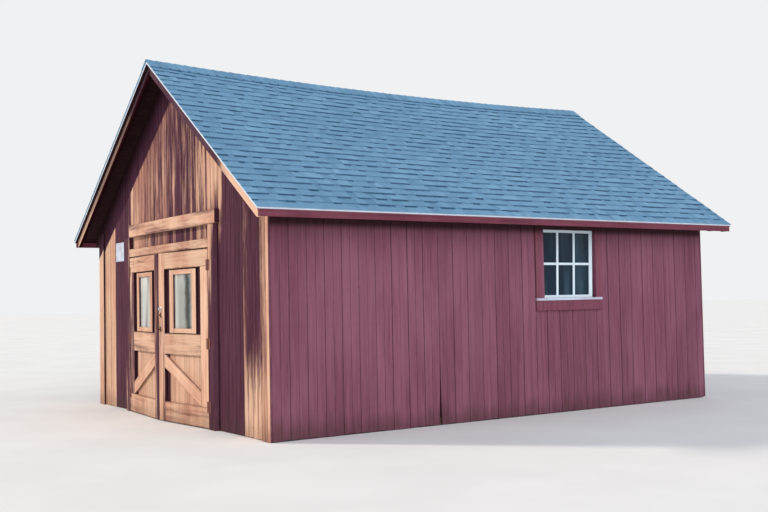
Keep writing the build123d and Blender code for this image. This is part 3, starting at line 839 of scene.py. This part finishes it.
# The right casing shows red at its outer edge and at its foot: painted shade.
made = add_board(bm, (door_right, y0, 0), (door_right + casing_width, y1, header_low), "Z", "X")
for vert in made:
    outer, upper = vert.co.x > door_right + 0.1, vert.co.z > 1
    vert[paint] = (0.62 if upper else 1.2) if outer else (0.3 if upper else 0.7)
finish_piece("doorway_casings", bm, "shed", sunlit_worn_paint, ["door_casings"],
             bevel=0.0035)

bm = new_boards()
add_board(bm, (door_left, y0, opening_top), (door_right, y1, lower_header_top), "X", "Z",
          red_and_shade=0.39)
finish_piece("leaf_header", bm, "shed", sunlit_worn_paint, ["lower_header"],
             bevel=0.003)

bm = new_boards()
add_board(bm, (header_left, -half_length - header_thickness, header_low),
          (header_right, -half_length, header_high), "X", "Z", red_and_shade=0.42)
finish_piece("gable_header", bm, "shed", sunlit_worn_paint, ["upper_header"],
             bevel=0.004)

# %% [markdown]
# ## Doors
# Each leaf is a plank door: upright boards behind, then stiles, three rails and a slanting
# brace on its face, and a framed light. The leaves rest a few degrees open, so they are
# drawn shut and then turned about their hinges, each as a mirror image of the other.

# %% Door helpers
leaf_width = 1.280
leaf_bottom, leaf_top = 0.012, 2.066
hinge_gap = 0.008
panel_thickness = 0.018
face_thickness = 0.028
light_trim_thickness = 0.020
door_face = -half_length - casing_thickness
leaf_back = door_face + panel_thickness + face_thickness
hinge_y = door_face - 0.006
ajar_angle = math.radians(4.3)
hinge_stile, latch_stile = 0.185, 0.160
rails = {"top": (1.866, leaf_top), "mid": (0.826, 1.076), "bottom": (leaf_bottom, 0.250)}
behind_rail = 0.95
brace_rise = 0.163
light_middle = (hinge_stile + leaf_width - latch_stile) / 2
light_near, light_far = light_middle - 0.235, light_middle + 0.235
light_low, light_high = 1.142, 1.794
rebate = 0.010


def leaf_place(side):
    """Turns a leaf from shut to where it rests; side is -1 for the left leaf."""
    hinge_x = door_left + hinge_gap / 2 if side < 0 else door_right - hinge_gap / 2
    hinge = Vector((hinge_x, hinge_y, 0))
    return (Matrix.Translation(hinge) @ Matrix.Rotation(side * ajar_angle, 4, "Z")
            @ Matrix.Translation(-hinge))


def leaf_x(side, s):
    """X of a point s in from the hinge edge of a shut leaf."""
    return door_left + hinge_gap + s if side < 0 else door_right - hinge_gap - s


def leaf_board(bm, side, s0, s1, z0, z1, back, thickness, run="Z", red_and_shade=0.2):
    """A board of a leaf, its back so far in front of the leaf's back."""
    x0, x1 = sorted((leaf_x(side, s0), leaf_x(side, s1)))
    y1 = leaf_back - back
    add_board(bm, (x0, y1 - thickness, z0), (x1, y1, z1), run, "X" if run == "Z" else "Z",
              place=leaf_place(side), red_and_shade=red_and_shade)


# %% Door leaves
# The doors' pale tints are painted sunlight on faded paint; the near black red is painted shade in
# the recesses beside the lights.
door_sunlit_and_shaded = board_material("door_paint_sunlit_and_shaded", (180, 126, 106), (212, 166, 138),
                           (236, 200, 170), (240, 212, 184), chips=0.3, foot=0.2,
                           edge=0.3, red_in_shade=((44, 19, 28), (64, 30, 40)))


def leaf_panel(side, leaf):
    """Backing boards: pale below the middle rail, near black above it as painted shade, and left
    open at the light.

    Below the rail one board of each leaf is painted in shade too."""
    bm = new_boards()
    near, far = light_near - rebate - seat, light_far + rebate + seat
    low, high = light_low - rebate - seat, light_high + rebate + seat
    edges = joints(0, near, 3) + joints(near, far, 4) + joints(far, leaf_width, 3) + [leaf_width]
    dark, pale, gap = 1.4, 0.25, 0.0005
    board_in_shade = 1 if side < 0 else 8
    for index, (a, b) in enumerate(zip(edges, edges[1:])):
        spans = [(leaf_bottom, behind_rail, dark if index == board_in_shade else pale),
                 (behind_rail, leaf_top, dark)]
        if near - 0.001 < a and b < far + 0.001:
            spans[1:] = [(behind_rail, low, dark), (high, leaf_top, dark)]
        for z0, z1, red_and_shade in spans:
            leaf_board(bm, side, a + gap, b - gap, z0, z1, 0,
                       panel_thickness - chance.uniform(0.0002, 0.001), red_and_shade=red_and_shade)
    finish_piece(f"{leaf}_planks", bm, leaf, door_sunlit_and_shaded, [f"{leaf}_panel"],
                 bevel=0.0018, inside=(0, 1, 0))


def leaf_frame(side, leaf):
    """Stiles, rails and the slanting brace."""
    bm = new_boards()
    joint = 0.001
    latch_line = leaf_width - latch_stile

    def face(s0, s1, z0, z1, run, red_and_shade):
        leaf_board(bm, side, s0, s1, z0, z1, panel_thickness, face_thickness, run, red_and_shade)

    # The left leaf's stiles show more red than the right's: painted shade.
    face(latch_line, leaf_width, leaf_bottom, leaf_top, "Z", 0.62 if side < 0 else 0.46)
    face(0, hinge_stile, rails["bottom"][1] + joint, rails["top"][0] - joint, "Z",
         0.56 if side < 0 else 0.3)
    face(0, latch_line - joint, *rails["top"], "X", 0.3)
    face(0, latch_line - joint, *rails["bottom"], "X", 0.36)
    face(hinge_stile + joint, latch_line - joint, *rails["mid"], "X", 0.38)
    add_brace(bm, side, hinge_stile + joint, latch_line - joint,
              rails["bottom"][1] + joint, rails["mid"][0] - joint)
    finish_piece(f"{leaf}_stiles_and_rails", bm, leaf, sunlit_worn_paint,
                 [f"{leaf}_face_frame"], bevel=0.0025)


def add_brace(bm, side, near, far, low, high):
    """The brace: a level board, sheared so that it rises from the hinges to the latch."""
    rise = high - brace_rise - low
    x0, x1 = sorted((leaf_x(side, near), leaf_x(side, far)))
    y1 = leaf_back - panel_thickness
    made = add_board(bm, (x0, y1 - face_thickness, low), (x1, y1, low + brace_rise), "X", "Z")
    for vert in made:
        share = abs(vert.co.x - leaf_x(side, near)) / (far - near)
        vert.co.z += rise * share
    bmesh.ops.transform(bm, matrix=leaf_place(side), verts=made)


def leaf_light(side, leaf):
    """Trim boards planted round the light."""
    bm = new_boards()
    near, far = light_near - 0.110, light_far + 0.110
    low, high = light_low - 0.056, light_high + 0.056
    for s0, s1, z0, z1, run in ((near, light_near, low, high, "Z"),
                                (light_far, far, low, high, "Z"),
                                (light_near + 0.001, light_far - 0.001, low, light_low, "X"),
                                (light_near + 0.001, light_far - 0.001, light_high, high, "X")):
        leaf_board(bm, side, s0, s1, z0, z1, panel_thickness, light_trim_thickness, run)
    finish_piece(f"{leaf}_light_boards", bm, leaf, sunlit_worn_paint,
                 [f"{leaf}_light_trim"], bevel=0.002)


for side, leaf in ((-1, "left_door"), (1, "right_door")):
    leaf_panel(side, leaf)
    leaf_frame(side, leaf)
    leaf_light(side, leaf)

# %% [markdown]
# ## Roof
# Architectural shingles look uneven on purpose: random tabs are doubled, so their lower
# edges are thicker, and a dark band printed below them passes for their shadow. Each tab
# here is a small wedge, thin under the course above and thick at its lower edge, and each
# band is a thin plate. Both are made flat, with their thickness along Z, and are then
# draped over the sagging roof by the height function.

# %% Shingle helpers
lap_thickness, tab_seat, band_top = 0.0031, 0.0034, 0.0082
thin_butt, thick_butt = 0.0042, 0.0078


def drape(verts, lift):
    """Lays flat work, whose Z is its thickness, on the roof."""
    for vert in verts:
        vert.co.z = roof_z(vert.co.x, vert.co.y, lift) + vert.co.z * upright


def add_tab(bm, side, inner, outer, y0, y1, butt, tone):
    """One wedge from its hidden upper edge to its lower edge, butt thick."""
    grain, _, shade, _ = board_layers(bm)
    shift = random_shift()
    made = bmesh.ops.create_cube(bm, size=1)["verts"]
    for vert in made:
        lower_end, top = vert.co.x > 0, vert.co.z > 0
        vert.co.z = (tab_seat if lower_end else seat) + (
            (butt if lower_end else lap_thickness) if top else 0)
        vert.co.x = side * (outer if lower_end else inner)
        vert.co.y = y1 if vert.co.y > 0 else y0
        vert[grain] = Vector((vert.co.y, abs(vert.co.x), vert.co.z)) + shift
        vert[shade] = tone
    drape(made, deck_rise)


def add_band(bm, side, butt_line, y0, y1, double):
    """The dark band on the course below a tab, wide and dark below a doubled one."""
    shade = bm.verts.layers.float["tone"]
    reach = chance.uniform(0.022, 0.036) if double else chance.uniform(0.006, 0.016)
    reach *= math.cos(slope_angle)
    tone = chance.uniform(-1.0, -0.6) if double else chance.uniform(-0.55, -0.3)
    made = bmesh.ops.create_cube(bm, size=1)["verts"]
    for vert in made:
        lower_end, top = vert.co.x > 0, vert.co.z > 0
        vert.co.z = band_top if top else tab_seat
        vert.co.x = side * (butt_line + (reach if lower_end else -0.004))
        vert.co.y = y1 if vert.co.y > 0 else y0
        vert[shade] = tone
    drape(made, deck_rise)


# %% Shingle finish
def make_granule_group():
    """Coarse mineral granules, and soft patches of wear."""
    group, source, target = new_group(
        "mineral_granules", [("Vector", "NodeSocketVector", None)],
        [("Granules", "NodeSocketFloat"), ("Patch", "NodeSocketFloat")])
    fine = noise(group, source["Vector"], 420.0, 2, 0.7)
    soft = noise(group, source["Vector"], 5.0, 4, 0.6)
    set_inputs(group, target, {"Granules": remap(group, fine, 0.3, 0.7),
                               "Patch": remap(group, soft, 0.35, 0.65)})
    return group


granule_group = make_granule_group()


def shingle_material(name, dark, base, pale, band):
    """Mineral shingle, one tint a tab; a tone below 0 is the dark band."""
    material, tree, shader = new_material(name)
    tone = read_attribute(tree, "tone")
    stone = use_group(tree, granule_group, {"Vector": read_attribute(tree, "grain", "Vector")})
    wide = stretch(tree, object_place(tree), (0.12, 0.12, 0.12))
    broad = use_group(tree, granule_group, {"Vector": wide})
    colour = mix_colors(tree, remap(tree, tone, 0.0, 0.6, 0.4, 1.0), dark, base)
    colour = mix_colors(tree, remap(tree, tone, 0.6, 1.0, 0.0, 0.5), colour, pale)
    colour = tint(tree, colour, stone["Granules"], 0.35, dark)
    colour = tint(tree, colour, stone["Patch"], 0.3, pale)
    colour = tint(tree, colour, broad["Patch"], 0.25, dark)
    colour = mix_colors(tree, remap(tree, tone, -0.1, -1.0), colour, band)
    set_inputs(tree, shader, {"Base Color": colour, "Roughness": 0.9,
                              "Specular IOR Level": 0.25})
    bump(tree, shader, stone["Granules"], 0.5, 0.001)
    return material


shingle_finish = shingle_material("slate_blue_shingle", dark=(86, 126, 156),
                                  base=(112, 156, 188), pale=(135, 179, 207),
                                  band=(46, 80, 108))

# %% Lay the shingles
courses = 26
lap_length = 0.02
shingle_end = rake_y + 0.012
shingle_reach = eave_x + 0.012


def lay_slope(side, name, node):
    """All courses of one slope, from the eave up."""
    bm = new_boards()
    exposure = shingle_reach / courses
    double = False
    for course in range(courses):
        outer = shingle_reach - course * exposure
        inner = max(outer - exposure - lap_length * math.cos(slope_angle), 0.0)
        y = -shingle_end
        while y < shingle_end - 0.001:
            width = chance.choice((0.07, 0.09, 0.11, 0.13, 0.16, 0.20))
            width *= chance.uniform(0.9, 1.1)
            far = shingle_end if shingle_end - y < width + 0.06 else y + width
            double = chance.random() < (0.42 if double else 0.82)
            butt = thick_butt if double else thin_butt
            reach = 0 if double or course == 0 else chance.uniform(0.001, 0.004)
            tone = chance.uniform(0.1, 0.7) + (0.3 if double else 0)
            add_tab(bm, side, inner, outer - reach, y + 0.0006, far - 0.0006, butt, tone)
            if course:
                add_band(bm, side, outer, y + 0.003, far - 0.003, double)
            y = far
    finish_piece(name, bm, "shed", shingle_finish, [node])


lay_slope(-1, "left_slope_shingles", "shingles_left")
lay_slope(1, "right_slope_shingles", "shingles_right")


# %% [markdown]
# The ridge is covered by folded shingles that overlap like scales, laid from the front of
# the roof to the back. Each starts as a thin block that is cut along the ridge, so that
# draping it folds it. A dark band along each side passes for its shadow on the slope.

# %% Ridge cap
def lay_cap():
    """Folded shingles along the whole ridge."""
    bm = new_boards()
    grain, _, shade, _ = board_layers(bm)
    exposure, length, half = 0.127, 0.147, 0.15
    lift, butt, lap, root = 0.0035, 0.0062, 0.003, -0.006
    low = deck_rise + shingle_rise
    count = math.ceil(2 * shingle_end / exposure)
    exposure = 2 * shingle_end / count
    for i in range(count):
        front = -shingle_end + i * exposure
        back = min(front + length, shingle_end)
        tone = chance.uniform(0.1, 0.9)
        shift = random_shift()
        made = bmesh.ops.create_cube(bm, size=1)["verts"]
        bmesh.ops.scale(bm, vec=(2 * half, 1, 1), verts=made)
        cut = bmesh.ops.bisect_plane(bm, geom=surroundings(made), plane_co=(0, 0, 0),
                                     plane_no=(1, 0, 0))["geom_cut"]
        made = dict.fromkeys([*made, *(g for g in cut if isinstance(g, bmesh.types.BMVert))])
        for vert in made:
            nearer, top = vert.co.y < 0, vert.co.z > 0
            vert.co.y = front if nearer else back
            vert.co.z = (lift if nearer else seat) + (
                (butt if nearer else lap) if top else root)
            vert[grain] = vert.co + shift
            vert[shade] = tone
        drape(made, low)
        for side in (-1, 1):
            add_band(bm, side, half, front + 0.004, back - 0.004, True)
    finish_piece("ridge_cap_shingles", bm, "shed", shingle_finish, ["ridge_cap"])


lay_cap()

# %% [markdown]
# ## Window
# The sash holds six small panes between two upright bars and one level bar, all of painted
# wood with softly rounded edges. It has racked with the wall: its top leans to the right,
# so it is built square and then sheared. A red bead covers its left stile.

# %% Window sash with its bars
window_center = 0.834
sash_half = 0.449
rack = 0.0125
sash_low, sash_high = 1.422, 2.272
left_stile, right_stile, sash_rail = 0.030, 0.055, 0.034
sash_face, sash_back = half_width - 0.025, half_width - 0.060
bar_half, level_bar_half = 0.017, 0.015
bar_joint = 0.0005

bm = new_boards()
left, right = window_center - sash_half, window_center + sash_half
glass_left, glass_right = left + left_stile, right - right_stile
for y0, y1 in ((left, glass_left), (glass_right, right)):
    add_board(bm, (sash_back, y0, sash_low), (sash_face, y1, sash_high), "Z", "Y", tone=1)
for z0, z1 in ((sash_low, sash_low + sash_rail), (sash_high - sash_rail, sash_high)):
    add_board(bm, (sash_back, glass_left + bar_joint, z0),
              (sash_face, glass_right - bar_joint, z1), "Y", "Z", tone=1)
bar_back = (sash_face + sash_back) / 2 + 0.002
bar_face = sash_face - 0.003
level = (sash_low + sash_high) / 2
pane = (glass_right - glass_left - 4 * bar_half) / 3
for i in range(3):
    start = glass_left + i * (pane + 2 * bar_half)
    add_board(bm, (bar_back, start + bar_joint, level - level_bar_half),
              (bar_face, start + pane - bar_joint, level + level_bar_half), "Y", "Z", tone=1)
    if i:
        add_board(bm, (bar_back, start - 2 * bar_half, sash_low + sash_rail + seat),
                  (bar_face, start, sash_high - sash_rail - seat), "Z", "Y", tone=1)
for vert in bm.verts:
    vert.co.y += rack * (vert.co.z - level) / (sash_high - level)
finish_piece("six_light_sash", bm, "shed", white_paint, ["window_sash"],
             bevel=0.003)

bm = new_boards()
bead_start, bead_end = 0.372, 0.429
add_board(bm, (sash_face + seat, bead_start, sash_low + 0.001),
          (half_width - 0.004, bead_end, sash_high - 0.001), "Z", "Y", tone=0.6)
finish_piece("window_bead", bm, "shed", barn_red, bevel=0.002)


# %% [markdown]
# ## Finishes for the pieces that keep their CAD shape
# The timbers inside, the roof boards, the fascia, the rakes, the drip edge, the trim and
# sill of the window, the ironwork and the glass have the right shape already. They keep it
# and get a finish. A CAD mesh is loose triangles, so where edges are to be rounded, a Weld
# modifier joins them and a Decimate takes out the flat edges between them before the Bevel.

# %% Dress CAD nodes
def dress(names, material, bevel=0.0):
    """Gives CAD nodes a material, and softens their edges."""
    for name in names:
        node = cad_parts[name]
        node.data.materials.clear()
        node.data.materials.append(material)
        if bevel:
            node.modifiers.new("join", "WELD").merge_threshold = 0.00002
            flat = node.modifiers.new("flat", "DECIMATE")
            flat.decimate_type = "DISSOLVE"
            flat.angle_limit = math.radians(1)
            round_edges(node, bevel)


def timber(name, run):
    """Bare frame timber, darkened by age."""
    return board_material(name, (58, 44, 38), (86, 66, 54), (104, 82, 66),
                          (124, 100, 80), fade=0.5, chips=0.2, foot=0.4, run=run)


dress(["side_wall_studs", "gable_wall_studs"], timber("stud_timber", "Z"), 0.003)
dress(["sill_timbers", "wall_plates", "ridge_board"], timber("plate_timber", "Y"), 0.003)
# The rafters and the roof boards are dark with age, and darker still as painted shade under the
# eaves.
rafter_timber_in_shade = board_material("rafter_timber", (38, 24, 30), (56, 38, 42),
                              (70, 50, 52), (96, 74, 70), foot=0, run="X")
dress(["rafters", "collar_ties"], rafter_timber_in_shade, 0.003)
roof_boards = board_material("roof_board_timber", (34, 18, 22), (50, 28, 32),
                             (60, 36, 38), (84, 58, 54), foot=0, run="Y")
dress(["roof_deck_left", "roof_deck_right"], roof_boards)
fascia_paint = board_material("fascia_paint", (98, 48, 60), (118, 62, 76),
                              (132, 74, 88), (150, 106, 98), fade=0.5, chips=0.15,
                              foot=0, run="Y")
dress(["fascia_boards"], fascia_paint, 0.002)
sill_paint = board_material("worn_sill_paint", (206, 214, 230), (222, 234, 244),
                            (170, 140, 164), (150, 104, 124), fade=0.9, chips=0.9,
                            foot=0, run="Y")
dress(["window_sill"], sill_paint, 0.002)
# The top of the window trim is darkened too: painted shade under the eave.
trim_paint = board_material("window_trim_paint", (112, 62, 78), (134, 76, 92),
                            (148, 92, 106), (152, 112, 110), fade=0.4, chips=0.2,
                            foot=0, run="Z", eave_shade_from=eave_shade_from)
dress(["window_frame", "window_trim"], trim_paint, 0.002)


rake_low = ridge_base - 0.118 * upright


def open_finish(material):
    """A material's tree, its shader, and the colour that reaches the shader."""
    tree = material.node_tree
    shader = tree.nodes["Principled BSDF"]
    return tree, shader, shader.inputs["Base Color"].links[0].from_socket


def rake_material():
    """Rake paint: red, with pale patches of painted sunlight on the front near the right eave and
    along the left board, whose lower half is near black: painted shade."""
    material = board_material("rake_paint", (78, 50, 62), (94, 66, 80),
                              (112, 84, 94), (180, 136, 116), fade=0.5, chips=0.3,
                              foot=0, run="X")
    tree, shader, red = open_finish(material)
    place = object_place(tree)
    parts = parts_of(tree, place)
    where = plus(tree, parts["X"], minus(tree, noise(tree, place, 2.2), 0.5))
    left = plus(tree, remap(tree, where, -0.4, -1.3, 0.0, 0.45),
                remap(tree, where, -2.0, -2.5, 0.0, 0.5))
    share = math_node(tree, "MAXIMUM", remap(tree, where, 1.95, 2.3), left)
    share = times(tree, share, remap(tree, parts["Y"], 0.1, -0.1))
    wear_and_painted_light = mix_colors(tree, share, red, (238, 196, 168))
    fall = times(tree, math_node(tree, "ABSOLUTE", parts["X"]), math.tan(slope_angle))
    height = minus(tree, plus(tree, parts["Z"], fall), rake_low)
    rake_painted_shade = times(tree, remap(tree, height, 0.082, 0.070), remap(tree, parts["X"], 0.02, -0.02))
    colour = mix_colors(tree, rake_painted_shade, wear_and_painted_light, (36, 13, 17))
    set_inputs(tree, shader, {"Base Color": colour, "Specular IOR Level": 0.0})
    return material


dress(["rake_boards"], rake_material(), 0.002)


# %% [markdown]
# The metal is painted or plated, and rusts or dulls in patches. Old panes carry a film of
# dust in patches too. It changes their colour and gloss, while the glass keeps one
# clearness all over. On the door panes the film thins in a strip and to its right: a
# painted dark reflection.

# %% Metal and glass
def metal_material(name, base, rust, amount, rough, metallic):
    """Painted or plated metal that rusts in patches."""
    material, tree, shader = new_material(name)
    place = object_place(tree)
    stone = use_group(tree, granule_group, {"Vector": place})
    spots = times(tree, remap(tree, noise(tree, place, 60.0, 4, 0.7), 0.42, 0.6), amount)
    colour = mix_colors(tree, spots, base, rust)
    colour = tint(tree, colour, stone["Patch"], 0.18, rust)
    set_inputs(tree, shader, {"Base Color": colour, "Metallic": metallic,
                              "Roughness": plus(tree, times(tree, spots, 0.4), rough)})
    bump(tree, shader, stone["Granules"], 0.25 * amount + 0.02, 0.0006)
    return material


def film_with_painted_reflection(tree, place, film):
    """Thins the doors' film: a strip on the right pane, and less film to its right, where the dark
    pane shows through as a painted dark reflection.
    """
    parts = parts_of(tree, place)
    wobble = times(tree, minus(tree, noise(tree, place, 5.0), 0.5), 0.16)
    away = plus(tree, minus(tree, parts["X"], 0.69), wobble)
    strip = remap(tree, math_node(tree, "ABSOLUTE", away), 0.01, 0.11)
    left_pane = remap(tree, parts["X"], -0.4, 0.3, 0.78, 1.0)
    right_pane = remap(tree, parts["X"], 0.36, 0.50, 1.0, 0.5)
    upper = remap(tree, parts["Z"], 1.55, 1.78, 1.0, 1.3)
    return times(tree, film, strip, left_pane, right_pane, upper)


def glass_material(name, pane, haze, clear, rough, bend, size, thin, with_painted_reflection=False):
    """Old window glass with a film of dust; bend is how strongly it mirrors.

    size is the scale of the film's patches, and thin is the value where the film starts."""
    material, tree, shader = new_material(name)
    place = object_place(tree)
    film = noise(tree, stretch(tree, place, (1, 1, 0.2)), size, 1.0, 0.4)
    film = remap(tree, film, thin, thin + 0.3)
    if with_painted_reflection:
        film = film_with_painted_reflection(tree, place, film)
    set_inputs(tree, shader, {"Base Color": mix_colors(tree, film, pane, haze),
                              "Roughness": plus(tree, times(tree, film, 0.12), rough),
                              "Transmission Weight": clear, "IOR": bend})
    return material


def drip_material():
    """White enamel; the fascia's paint has run up over its lower edge along the eaves."""
    material = metal_material("white_drip_enamel", (224, 236, 250), (160, 156, 156),
                              amount=0.1, rough=0.35, metallic=0.0)
    tree, shader, white = open_finish(material)
    parts = parts_of(tree, object_place(tree))
    at_eave = remap(tree, math_node(tree, "ABSOLUTE", parts["X"]), eave_x - 0.006, eave_x - 0.001)
    low = remap(tree, parts["Z"], eave_height - 0.019, eave_height - 0.023)
    colour = tint(tree, white, at_eave, low, (118, 62, 76))
    set_inputs(tree, shader, {"Base Color": colour})
    return material


old_iron = metal_material("rusty_iron", (70, 44, 40), (112, 62, 42), amount=0.8, rough=0.55,
                          metallic=0.3)
painted_iron = metal_material("painted_over_iron", (112, 62, 58), (126, 76, 56), amount=0.6,
                              rough=0.6, metallic=0.0)
bright_metal = metal_material("plated_steel", (214, 216, 220), (140, 120, 100), amount=0.25,
                              rough=0.25, metallic=0.9)
dress(["drip_edges"], drip_material(), 0.0008)
dress(["door_hinge_casing_halves", "left_door_hinge_halves", "right_door_hinge_halves"],
      painted_iron, 0.001)
dress(["pull_handle"], old_iron, 0.001)
dress(["latch_plate"], bright_metal, 0.001)
door_glass = glass_material("hazy_door_glass", pane=(38, 44, 40), haze=(222, 224, 217),
                            clear=0.1, rough=0.12, bend=1.4, size=5.0, thin=0.22, with_painted_reflection=True)
window_glass = glass_material("dark_window_glass", pane=(40, 70, 94), haze=(84, 118, 138),
                              clear=0.66, rough=0.04, bend=1.25, size=7.0, thin=0.44)
dress(["left_door_glass", "right_door_glass"], door_glass)
dress(["window_glass"], window_glass)
print("finishes", len(bpy.data.materials))

# %% [markdown]
# ## Small things
# Nail heads and the blank plate beside the door are what make the size readable close up. A
# nail head is a six-sided disc, because there are over a thousand of them.

# %% Nail heads
nail_rows = (0.11, 1.18, 2.20, 3.10)
nail_step = 0.027
nail_radius, nail_height = 0.0036, 0.0014


def add_nail(bm, centre, axis):
    """A low disc standing on a face that looks along an axis."""
    turn = Matrix.Rotation(math.pi / 2, 4, "Y" if axis == 0 else "X")
    bmesh.ops.create_cone(bm, cap_ends=True, segments=6, radius1=nail_radius,
                          radius2=nail_radius * 0.8, depth=nail_height,
                          matrix=Matrix.Translation(centre) @ turn)


def drive_nails():
    """Two nails a board at each rail behind it."""
    bm = bmesh.new()
    for axis, middle, face, out, low, high in all_nails:
        for level in nail_rows:
            if not low + 0.04 < level < high - 0.06:
                continue
            for step in (-nail_step, nail_step):
                centre = Vector((0, 0, level + chance.uniform(-0.012, 0.012)))
                centre[axis] = middle + step + chance.uniform(-0.004, 0.004)
                centre[1 - axis] = face + out * 0.0002
                add_nail(bm, centre, 1 - axis)
    finish_piece("siding_nails", bm, "shed", old_iron)


drive_nails()


# %% Blank plate by the door
def plate_material():
    """Faded enamel in two soft tints."""
    material, tree, shader = new_material("faded_enamel")
    film = remap(tree, noise(tree, object_place(tree), 9.0, 4, 0.6), 0.4, 0.65)
    colour = mix_colors(tree, film, (206, 216, 232), (184, 192, 208))
    gloss = remap(tree, film, 0, 1, 0.3, 0.5)
    set_inputs(tree, shader, {"Base Color": colour, "Roughness": gloss})
    return material


plate_left, plate_right, plate_low, plate_high = -2.014, -1.688, 2.044, 2.305
plate_face, plate_back = -half_length - 0.0035, -half_length - 0.0005
bm = new_boards()
add_board(bm, (plate_left, plate_face, plate_low), (plate_right, plate_back, plate_high))
finish_piece("blank_plate", bm, "shed", plate_material(), bevel=0.001)
